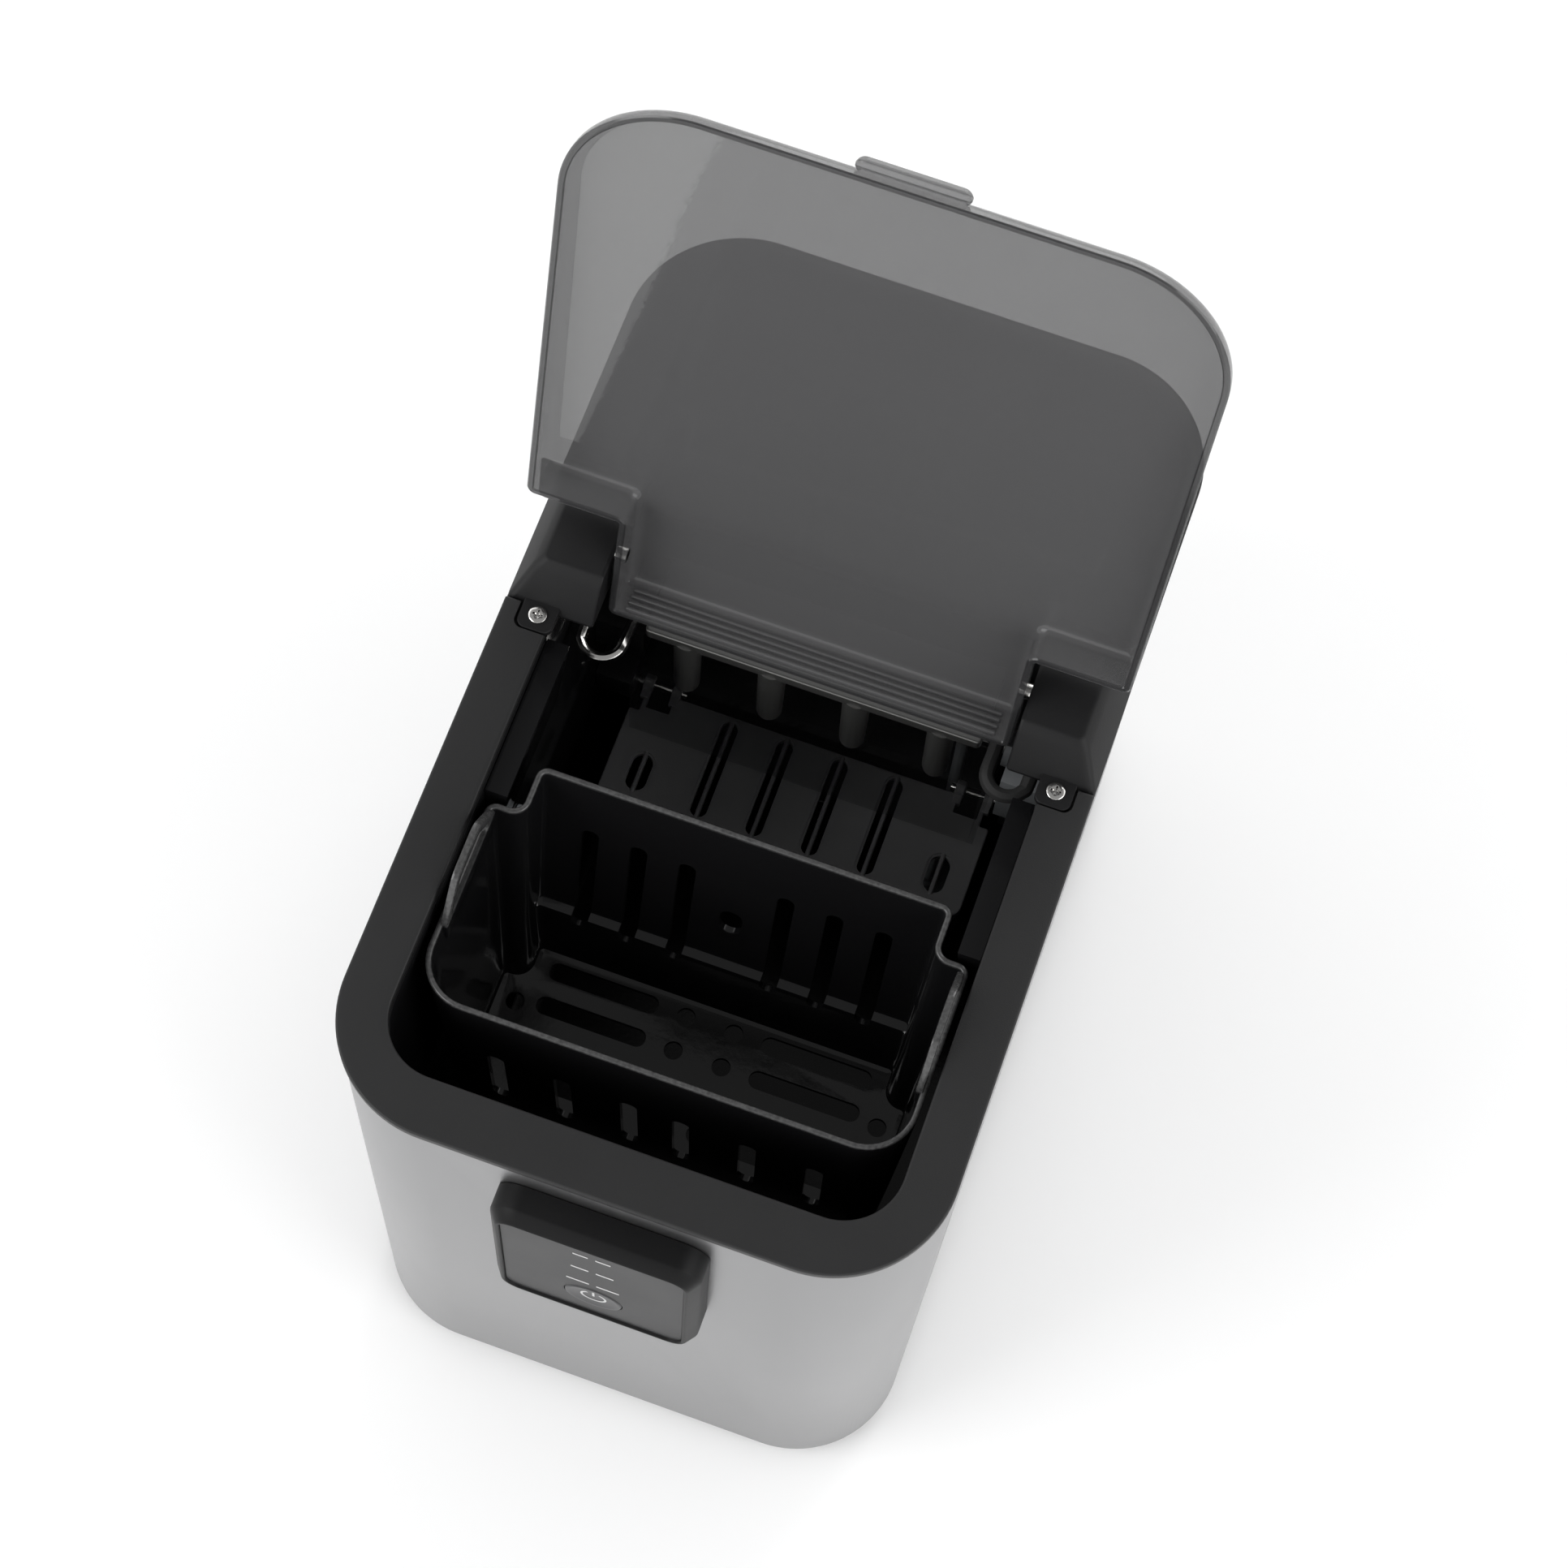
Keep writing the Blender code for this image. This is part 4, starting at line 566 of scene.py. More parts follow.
@dataclass(frozen=True)
class Layout:
    """The places that the pieces share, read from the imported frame."""

    half: float
    front: float
    rear: float
    top: float
    under: float
    opening: float
    opening_front: float
    block_front: float
    block_inner: float
    cover_front: float
    corner: float = 45 * MM

    @classmethod
    def read(cls) -> Layout:
        """Takes the layout from the CAD nodes."""
        frame_low, frame_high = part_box("top_frame")
        cover_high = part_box("rear_cover")[1]
        tub_low, tub_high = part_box("liner_tub")
        wall = 2.2 * MM
        return cls(
            half=frame_high.x, front=frame_low.y, rear=cover_high.y, top=frame_high.z, under=frame_low.z,
            opening=tub_high.x - wall, opening_front=tub_low.y + wall, block_front=frame_high.y + 0.3 * MM,
            block_inner=frame_high.x - 33.3 * MM, cover_front=cover_high.y - 122 * MM,
        )

    def back(self, distance: float) -> float:
        """Y this far behind the front face."""
        return self.front + distance

    def below(self, distance: float) -> float:
        """Z this far below the top of the frame."""
        return self.top - distance


@dataclass
class Enclosure:
    """The steel wrap, the top frame and the rear cover."""

    at: Layout
    sheet: float = 1.2 * MM
    inset: float = 1.0 * MM
    vent_pitch: float = 11 * MM
    vent_from_rear: float = 52 * MM
    vent_count: int = 6
    vent_height: float = 50 * MM
    vent_rise: float = 60 * MM
    vent_row: float = 62 * MM

    def body_outline(self) -> Outline:
        """The body in plan."""
        a = self.at
        return rectangle(-a.half, a.half, a.front, a.rear, a.corner, 28)

    def wrap(self) -> None:
        """The steel sheet: a band round the body, its lower edge hemmed, open behind for the panel."""
        a = self.at
        low, high = (corner.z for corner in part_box("wrapper_shell"))
        outer, inner = self.inset, self.inset + self.sheet
        section = np.array([[outer, low], [outer, high], [inner, high], [inner, low]])
        section = fillet(section, np.array([0.5, 0.3, 0.3, 0.5]) * MM, 4, closed=True)
        outline = self.body_outline()
        band = loft([lift(outline.ring(i), z) for i, z in section], joined=True)
        piece = band.piece("steel_wrap")
        gap = a.half - a.corner
        carve(piece, prism(rectangle(-gap, gap, a.rear - 8 * MM, a.rear + 8 * MM, 0.1 * MM, 2), 0.0, a.top))
        slots = []
        for row in range(2):
            for column in range(self.vent_count):
                y = a.rear - self.vent_from_rear - self.vent_pitch * column
                z = low + self.vent_rise + self.vent_row * row
                hole = rectangle(y - 2.2 * MM, y + 2.2 * MM, z, z + self.vent_height, 2.1 * MM, 6)
                shape = prism(hole, -a.half - 10 * MM, a.half + 10 * MM)
                slots.append(shape.moved(SIDEWAYS))
        window = rectangle(-20 * MM, 20 * MM, a.below(85 * MM), a.below(45 * MM), 2 * MM)
        slots.append(prism(window, a.front - 10 * MM, a.front + 10 * MM).moved(UPRIGHT))
        carve(piece, together(slots))
        dress(piece, STEEL, "cabinet", "wrapper_shell")

    def frame(self) -> None:
        """The flat frame: a U in plan with a rolled lower edge, pocketed for the cover's two tabs."""
        a = self.at
        end = a.block_front - 0.3 * MM
        corners = (
            (-a.half, a.front), (a.half, a.front), (a.half, end), (a.opening, end),
            (a.opening, a.opening_front), (-a.opening, a.opening_front), (-a.opening, end), (-a.half, end),
        )
        sharp = 0.8 * MM
        outline = Outline(corners, (a.corner, a.corner, sharp, sharp, 22 * MM, 22 * MM, sharp, sharp), 26)
        piece = soft_slab(outline, a.under, a.top, 2.6 * MM, 0.9 * MM, 6).piece("frame_moulding")
        for side in Side:
            carve(piece, self.tab_shape(side, 0.8 * MM, a.top - 3.3 * MM, a.top + 5 * MM))
        dress(piece, FRAME, "cabinet", "top_frame")

    def tab_shape(self, side: Side, grow: float, z0: float, z1: float) -> Surface:
        """The outline of a screw tab, grown all round and carried up."""
        a = self.at
        middle = side.value * (a.half - 13.6 * MM)
        reach = 6.75 * MM + grow
        y0 = a.block_front - 9.8 * MM - grow
        y1 = a.block_front + 6 * MM
        outline = rectangle(middle - reach, middle + reach, y0, y1, mm(3.4, 3.4, 0.5, 0.5))
        return soft_slab(outline, z0, z1, 0.1 * MM, 0.5 * MM, 4)

    def cover(self) -> None:
        """The rear cover, softly domed to its edge, with its hinge blocks and tabs."""
        a = self.at
        corners = (
            (-a.half, a.block_front), (-a.block_inner, a.block_front), (-a.block_inner, a.cover_front),
            (a.block_inner, a.cover_front), (a.block_inner, a.block_front), (a.half, a.block_front),
            (a.half, a.rear), (-a.half, a.rear),
        )
        outline = Outline(corners, mm(0.8, 1.5, 3.0, 3.0, 1.5, 0.8, 45.0, 45.0), 26)
        section = np.array([[3, 0], [0, 0], [0, 3.6], [5.2, 6.0], [9.0, 6.0]]) * MM
        section = fillet(section, np.array([0, 2.0, 1.8, 9.0, 0]) * MM, 6, closed=False)
        section[:, 1] += a.under
        piece = slab(outline, section).piece("cover_moulding")
        for side in Side:
            carve(piece, self.block_shape(side), "UNION")
            carve(piece, self.tab_shape(side, 0.0, a.top - 3.0 * MM, a.top - 0.5 * MM), "UNION")
        dress(piece, COVER, "cabinet", "rear_cover")

    def block_shape(self, side: Side) -> Surface:
        """A hinge block: a sloping front, a flat top and an outer end that is cut away to the edge."""
        a = self.at
        x0, x1 = a.block_inner, a.half
        levels = ((-3.0, x1, 0.0, 12.0), (10.5, x1 - 6.5 * MM, 8.2, 0.0), (14.0, x1 - 9.5 * MM, 11.5, -4.0))
        rings = []
        for height, outer, lead, trail in levels:
            y0 = a.block_front + lead * MM
            y1 = a.cover_front + trail * MM
            outline = rectangle(x0, outer, y0, y1, mm(1.2, 3.0, 3.0, 1.2), 6)
            rings.append(lift(outline.ring(), a.top + height * MM))
        rings.append(lift(outline.ring(1.2 * MM), a.top + 14.6 * MM))
        return other_side(loft(rings), side)

    def build(self) -> None:
        """Makes the three mouldings."""
        self.wrap()
        self.frame()
        self.cover()


@dataclass
class Lid:
    """The smoked lid: a shallow tray with a tongue between the hinge blocks, drawn closed and then opened."""

    at: Layout
    wall: float = 2.5 * MM
    shoulder: float = 6.8 * MM
    angle: float = 104.7
    pivot_rise: float = 10 * MM
    pivot_from_rear: float = 148.4 * MM
    tongue: float = 23.4 * MM
    rib_count: int = 4

    @property
    def pivot(self) -> Vector:
        """The hinge axis."""
        return Vector((0.0, self.at.rear - self.pivot_from_rear, self.at.top + self.pivot_rise))

    def face(self, y: Array) -> Array:
        """Height of the outer face at each y: it rises evenly to the rear."""
        run = self.pivot.y + self.tongue - self.at.front
        return self.at.top + (8.0 + 12.0 * (y - self.at.front) / run) * MM

    def hung(self, outline: Outline, inset: float, drop: float) -> Array:
        """An outline moved inwards, at this drop below the outer face."""
        ring = outline.ring(inset)
        return lift(ring, self.face(ring[:, 1]) - drop)

    def outline(self) -> Outline:
        """The tray in plan, notched at the rear for the hinge blocks."""
        a = self.at
        x0 = a.half
        x1 = a.block_inner - 1.7 * MM
        y0 = a.front + 1.0 * MM
        y1 = self.pivot.y - 27.6 * MM
        y2 = self.pivot.y + self.tongue
        corners = ((-x0, y0), (x0, y0), (x0, y1), (x1, y1), (x1, y2), (-x1, y2), (-x1, y1), (-x0, y1))
        return Outline(corners, mm(44, 44, 3.2, 2.0, 3.2, 3.2, 2.0, 3.2), 22)

    def tray(self) -> Surface:
        """The shell: from the middle of the ceiling out, down the inner wall, round the rim and back over the top."""
        outline = self.outline()
        rim = self.at.top + 0.6 * MM
        inner = self.wall + self.shoulder * 0.55
        quarter = np.linspace(0.0, math.pi / 2, 7)
        rings = []
        for turn in quarter:
            inset, drop = (self.wall + (inner - self.wall) * (1 - part(turn)) for part in (math.sin, math.cos))
            rings.append(self.hung(outline, inset, drop))
        for inset, height in ((self.wall, 0.5), (self.wall - 0.5 * MM, 0.0), (0.5 * MM, 0.0), (0.0, 0.5)):
            rings.append(lift(outline.ring(inset), rim + height * MM))
        for turn in quarter[::-1]:
            inset, drop = (self.shoulder * (1 - part(turn)) for part in (math.sin, math.cos))
            rings.append(self.hung(outline, inset, drop))
        return loft(rings)

    def wing(self, side: Side) -> Surface:
        """The ledge that reaches over a hinge block."""
        x1 = self.at.half
        x0 = self.at.block_inner - 3.0 * MM
        y0 = self.pivot.y - 29.5 * MM
        y1 = self.pivot.y - 8.6 * MM
        outline = rectangle(x0, x1, y0, y1, mm(0.5, 0.5, 3, 0.5))
        rows = ((0.5 * MM, self.wall), (0.0, self.wall - 0.5 * MM), (0.0, 1.2 * MM), (1.2 * MM, 0.0))
        return other_side(loft([self.hung(outline, inset, drop) for inset, drop in rows]), side)

    def darken_rim(self, mesh: bpy.types.Mesh) -> None:
        """Gives the rim's lower faces the look of a sheet seen on edge."""
        mesh.materials.append(EDGE.material())
        count = len(mesh.polygons)
        centres = np.empty(count * 3, np.float32)
        mesh.polygons.foreach_get("center", centres)
        low = centres.reshape(-1, 3)[:, 2] < self.at.top + 1.15 * MM
        mesh.polygons.foreach_set("material_index", low.astype(np.int32))

    def opened(self, piece: Piece) -> Piece:
        """Turns a piece about the hinge axis from closed to open, in its mesh."""
        turn = Matrix.Rotation(-math.radians(self.angle), 4, "X")
        piece.data.transform(Matrix.Translation(self.pivot) @ turn @ Matrix.Translation(-self.pivot))
        return piece

    def build(self) -> None:
        """Makes the lid with its finger tab and the ribs inside its tongue."""
        a = self.at
        piece = self.tray().piece("lid_shell", 30.0)
        for side in Side:
            carve(piece, self.wing(side), "UNION", 30.0)
        front = a.front + 1.0 * MM
        tab = rectangle(-19 * MM, 19 * MM, front - 5 * MM, front + 1.2 * MM, 3.5 * MM, 10)
        carve(piece, soft_slab(tab, a.top + 2.6 * MM, a.top + 5.6 * MM, 1.0 * MM, 1.0 * MM), "UNION", 30.0)
        dress(piece, ACRYLIC, "lid", "lid")
        self.darken_rim(piece.data)
        self.opened(piece)
        for index in range(self.rib_count):
            z = a.top + (2.4 + 3.0 * index) * MM
            y = self.pivot.y + self.tongue - self.wall
            bar = rectangle(-71 * MM, 71 * MM, z, z + 1.3 * MM, 0.6 * MM, 4)
            rib = soft_slab(bar, y - 1.3 * MM, y + 0.3 * MM, 0.5 * MM, 0.1 * MM, 4).moved(UPRIGHT)
            dress(self.opened(rib.piece(f"lid_rib_{index + 1}")), ACRYLIC, "lid")


@dataclass
class Basket:
    """The lift-out basket: a T in plan, its walls leaning in to a pierced floor, with two upright loops.

    first_row and row_pitch place the floor's slots, in millimetres behind the front face.
    """

    at: Layout
    wall: float = 2.2 * MM
    rim_drop: float = 9 * MM
    floor_drop: float = 142 * MM
    ledge_rise: float = 46 * MM
    floor_rear: float = 124.4 * MM
    rim_rear: float = 145 * MM
    first_row: float = 114.6
    row_pitch: float = 14.4

    def outline(self, share: float, rear: float) -> Outline:
        """The basket in plan at one height.

        Args:
            share: 0 at the floor, 1 at the rim.
            rear: The rear wall's distance behind the front face.

        Returns:
            The outline of the outer wall.
        """
        a = self.at

        def mix(low: float, high: float) -> float:
            """A measure that runs from the floor's value to the rim's, in millimetres."""
            return (low + (high - low) * share) * MM

        half = mix(84.5, a.opening / MM - 2.6)
        neck = mix(75.0, a.opening / MM - 15.0)
        front = a.back(mix(54.0, 49.5))
        shoulder = a.back(mix(110.4, 126.0))
        back = a.back(rear)
        corners = (
            (-half, front), (half, front), (half, shoulder), (neck, shoulder),
            (neck, back), (-neck, back), (-neck, shoulder), (-half, shoulder),
        )
        big = mix(14.0, 19.0)
        return Outline(corners, (big, big) + (4.4 * MM,) * 6, 12)

    def levels(self) -> list[tuple[float, float, float]]:
        """Rows of (height, share, rear distance) from floor to rim, with the ledge across the rear wall."""
        floor, rim = self.at.below(self.floor_drop), self.at.below(self.rim_drop)
        ledge = floor + self.ledge_rise
        share = (ledge - floor) / (rim - floor)
        steps = ((-1.6, 125.7), (-0.5, 126.1), (0.0, 127.2), (0.15, 129.6), (1.0, 130.3))
        rows = [(ledge + up * MM, share + up * MM / (rim - floor), rear * MM) for up, rear in steps]
        return [(floor, 0.0, self.floor_rear)] + rows + [(rim, 1.0, self.rim_rear)]

    def vessel(self) -> Surface:
        """The walls and floor: down the inside, round the floor, and up the outside to a rolled rim."""
        rolled = 0.9 * MM
        inner, outer = [], []
        for z, share, rear in self.levels():
            shape = self.outline(share, rear)
            top = z if share < 1.0 else z - rolled
            inner.append(lift(shape.ring(self.wall), top))
            outer.append(lift(shape.ring(), top - (2.0 * MM if 0.0 < share < 1.0 else 0.0)))
        shape = self.outline(1.0, self.rim_rear)
        rim = self.at.below(self.rim_drop)
        edge = [
            lift(shape.ring(self.wall / 2 - self.wall / 2 * math.cos(t)), rim - rolled + rolled * math.sin(t))
            for t in np.linspace(0.0, math.pi, 9)[1:-1]
        ]
        base = self.outline(0.0, self.floor_rear)
        floor = self.at.below(self.floor_drop)
        under = [lift(base.ring(3 * MM), floor), lift(base.ring(0.9 * MM), floor + 0.3 * MM)]
        lowest = lift(base.ring(), floor + 1.4 * MM)
        bottom = lift(base.ring(self.wall + 2.2 * MM), floor + self.wall)
        rise = lift(base.ring(self.wall + 0.6 * MM), floor + self.wall + 0.5 * MM)
        inner[0] = lift(base.ring(self.wall), floor + self.wall + 2.0 * MM)
        return loft(under + [lowest] + outer[1:] + edge + inner[::-1] + [rise, bottom])

    def wall_cuts(self) -> Surface:
        """Upright round-ended slots through the front and rear walls."""
        a = self.at
        floor, high = a.below(self.floor_drop), a.below(self.rim_drop) - 30 * MM
        shapes = []
        for index in range(3):
            for side in Side:
                x = side.value * (19.0 + 18.8 * index) * MM
                rear = rectangle(x - 3.3 * MM, x + 3.3 * MM, floor + self.ledge_rise - 7.0 * MM, high, 3.2 * MM, 8)
                shapes.append(prism(rear, a.back(110 * MM), a.back(160 * MM)).moved(UPRIGHT))
                x = side.value * (10.0 + 25.5 * index) * MM
                front = rectangle(x - 3.3 * MM, x + 3.3 * MM, floor + 32 * MM, floor + 84 * MM, 3.2 * MM, 8)
                shapes.append(prism(front, a.back(40 * MM), a.back(66 * MM)).moved(UPRIGHT))
        eye = rectangle(-4.4 * MM, 4.4 * MM, floor + 65.5 * MM, floor + 80.5 * MM, 4.3 * MM, 10)
        shapes.append(prism(eye, a.back(110 * MM), a.back(160 * MM)).moved(UPRIGHT))
        return together(shapes)

    def floor_cuts(self) -> Surface:
        """Rows of long slots with pairs of round drain holes between them, and one small hole in each corner."""
        a = self.at
        z0, z1 = a.below(self.floor_drop) - 5 * MM, a.below(self.floor_drop) + 8 * MM
        drill = np.array([[3.7 * MM, z0], [3.7 * MM, z1]])
        shapes = []
        for row in range(4):
            y = a.back((self.first_row - self.row_pitch * row) * MM)
            for side in Side:
                x0, x1 = sorted((side.value * 21.2 * MM, side.value * 66 * MM))
                shapes.append(prism(rectangle(x0, x1, y - 3.7 * MM, y + 3.7 * MM, 3.6 * MM, 8), z0, z1))
                shapes.append(turned(drill, (side.value * 9.8 * MM, y, 0.0)))
        for side in Side:
            shapes.append(turned(drill, (side.value * 74 * MM, a.back(98 * MM), 0.0)))
        return together(shapes)

    def loop(self, side: Side) -> Surface:
        """A handle: an upright plate with chamfered shoulders and a long eye, rolled at its edges."""
        a = self.at
        rim = a.below(self.rim_drop)
        y0, y1 = a.back(76 * MM), a.back(122.5 * MM)
        z0, z1 = rim - 12 * MM, rim + 18 * MM
        outer = Outline(
            ((y0, z0), (y1, z0), (y1, rim + 2 * MM), (y1 - 13 * MM, z1), (y0 + 13 * MM, z1), (y0, rim + 2 * MM)),
            mm(1, 1, 8, 8, 8, 8), 10,
        )
        eye = Outline(
            (
                (y0 + 7 * MM, rim - 1 * MM), (y1 - 7 * MM, rim - 1 * MM), (y1 - 6 * MM, rim + 3 * MM),
                (y1 - 15 * MM, z1 - 5 * MM), (y0 + 15 * MM, z1 - 5 * MM), (y0 + 6 * MM, rim + 3 * MM),
            ),
            mm(3, 3, 4, 4, 4, 4), 10,
        )
        thick = 2.6 * MM
        face = side.value * (a.opening - 4 * MM)
        x0, x1 = sorted((face, face - side.value * thick))
        edge = 0.7 * MM
        roll = ((1.0, 0.0), (0.2, 0.3), (0.0, 1.0))
        rings = [lift(outer.ring(inset * edge), x0 + depth * edge) for inset, depth in roll]
        rings += [lift(outer.ring(inset * edge), x1 - depth * edge) for inset, depth in roll[::-1]]
        rings += [lift(eye.ring(-inset * edge), x1 - depth * edge) for inset, depth in roll]
        rings += [lift(eye.ring(-inset * edge), x0 + depth * edge) for inset, depth in roll[::-1]]
        return loft(rings, joined=True).moved(SIDEWAYS)

    def build(self) -> None:
        """Makes the basket and its two handles."""
        rim = self.at.below(self.rim_drop)
        # This finish paints a pale highlight above the rim height, on the rim and on the upper parts of the handles.
        gloss = PaintedRimHighlight(
            "Basket gloss", (0.007, 0.007, 0.0075), 0.11, grain=0.003, relief=0.03, coat=0.15, specular=0.4,
            height=rim, depth=1.6 * MM,
        )
        piece = self.vessel().piece("basket_shell", 30.0)
        carve(piece, self.floor_cuts(), angle=30.0)
        carve(piece, self.wall_cuts(), angle=30.0)
        dress(piece, gloss, "basket", "ice_basket")
        for side in Side:
            dress(self.loop(side).piece(f"basket_handle_{side.word}"), gloss, "basket")


@dataclass
class ControlModule:
    """The control box on the front: a chamfered housing, a recessed fascia, its marks and the power button."""

    at: Layout

    def outline(self) -> Outline:
        """The housing seen from the front."""
        low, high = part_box("control_housing")
        return rectangle(low.x, high.x, low.z, high.z, 11 * MM, 14)

    def housing(self) -> None:
        """A box open to the front in a shallow recess, with a wide chamfer round its front edge."""
        low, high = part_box("control_housing")
        outline = self.outline()
        front = low.y
        rows = (
            (0.0, high.y), (0.0, front + 5.2 * MM), (0.35 * MM, front + 4.2 * MM), (3.1 * MM, front + 0.5 * MM),
            (3.7 * MM, front), (4.5 * MM, front), (4.8 * MM, front + 0.3 * MM), (4.8 * MM, high.y - 3 * MM),
        )
        rings = [lift(outline.ring(inset), y) for inset, y in rows]
        piece = loft(rings).moved(UPRIGHT).piece("housing_moulding", 50.0)
        dress(piece, HOUSING, "cabinet", "control_housing")

    def fascia(self) -> None:
        """The overlay, with the dish round the button pressed into it."""
        low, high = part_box("control_fascia")
        outline = rectangle(low.x, high.x, low.z, high.z, 6.4 * MM, 10)
        plate = soft_slab(outline, low.y, high.y, 0.3 * MM, 0.1 * MM, 4).moved(UPRIGHT)
        piece = plate.piece("fascia_overlay")
        centre = self.button_centre()
        hole = np.array([[11.3, -10.0], [11.3, 10.0]]) * MM
        carve(piece, turned(hole, (0.0, low.y, centre.z), "Y", 64))
        dress(piece, FASCIA, "cabinet", "control_fascia")

    def button_centre(self) -> Vector:
        """The middle of the button's face."""
        low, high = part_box("power_button")
        return Vector(((low.x + high.x) / 2, low.y, (low.z + high.z) / 2))

    def button(self) -> None:
        """The button: a shallow dish, its height falling with the square of the radius."""
        centre = self.button_centre()
        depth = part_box("power_button")[1].y - centre.y
        reach, deep = 10.2, 0.9
        radius = np.linspace(0.0, reach, 12)
        dish = np.stack([radius, deep * (1 - (radius / reach) ** 2)], axis=1)
        section = np.concatenate([dish, [[10.7, 0.1], [11.0, 0.5], [11.0, depth / MM], [0.0, depth / MM]]]) * MM
        piece = turned(section, tuple(centre), "Y", 72).piece("button_dish", 50.0)
        dress(piece, BUTTON, "power_key", "power_button")
        angle = np.radians(np.linspace(120, 420, 41))
        ring = np.stack([4.6 * np.cos(angle), 4.6 * np.sin(angle)], axis=1) * MM
        bar = np.array([[0.0, 0.8], [0.0, 5.8]]) * MM
        place = centre + Vector((0, 0.72 * MM, 0))
        for name, path in (("power_ring", ring), ("power_bar", bar)):
            self.mark(name, path, 0.42 * MM, place, "power_key")

    def mark(self, name: str, path: Array, reach: float, place: Vector, body: str) -> None:
        """A printed line: a flat ribbon of even width along a path, standing 0.1 mm proud.

        Args:
            name: The piece's name.
            path: Points across and up, from the place.
            reach: Half the ribbon's width.
            place: Where the path's origin lies.
            body: The body that it rides on.
        """
        along = np.gradient(path, axis=0)
        along /= np.linalg.norm(along, axis=1)[:, None]
        across = np.stack([-along[:, 1], along[:, 0]], axis=1) * reach
        rings = []
        for offset, depth in ((across, 0.0), (across, -0.12 * MM), (-across, -0.12 * MM), (-across, 0.0)):
            flat = path + offset
            rings.append(np.column_stack([flat[:, 0], np.full(len(flat), depth), flat[:, 1]]) + np.array(place))
        grid = np.stack(rings, axis=1)
        piece = loft(list(grid)).piece(name)
        dress(piece, PRINT, body)

    def marks(self) -> None:
        """Three plain status bars beside their lamps; they carry no words."""
        low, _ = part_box("control_fascia")
        for index, reach in enumerate((7.0, 8.0, 10.0), 1):
            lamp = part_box(f"status_lamp_{index}")
            z = (lamp[0].z + lamp[1].z) / 2
            for part, (x0, x1) in enumerate(((-reach, -1.4), (1.4, reach)), 1):
                path = np.array([[x0, 0.0], [x1, 0.0]]) * MM
                self.mark(
                    f"status_mark_{index}_{part}", path, 0.55 * MM, Vector((0, low.y, z)), "cabinet"
                )

    def build(self) -> None:
        """Makes the module's pieces."""
        self.housing()
        self.fascia()
        self.button()
        self.marks()


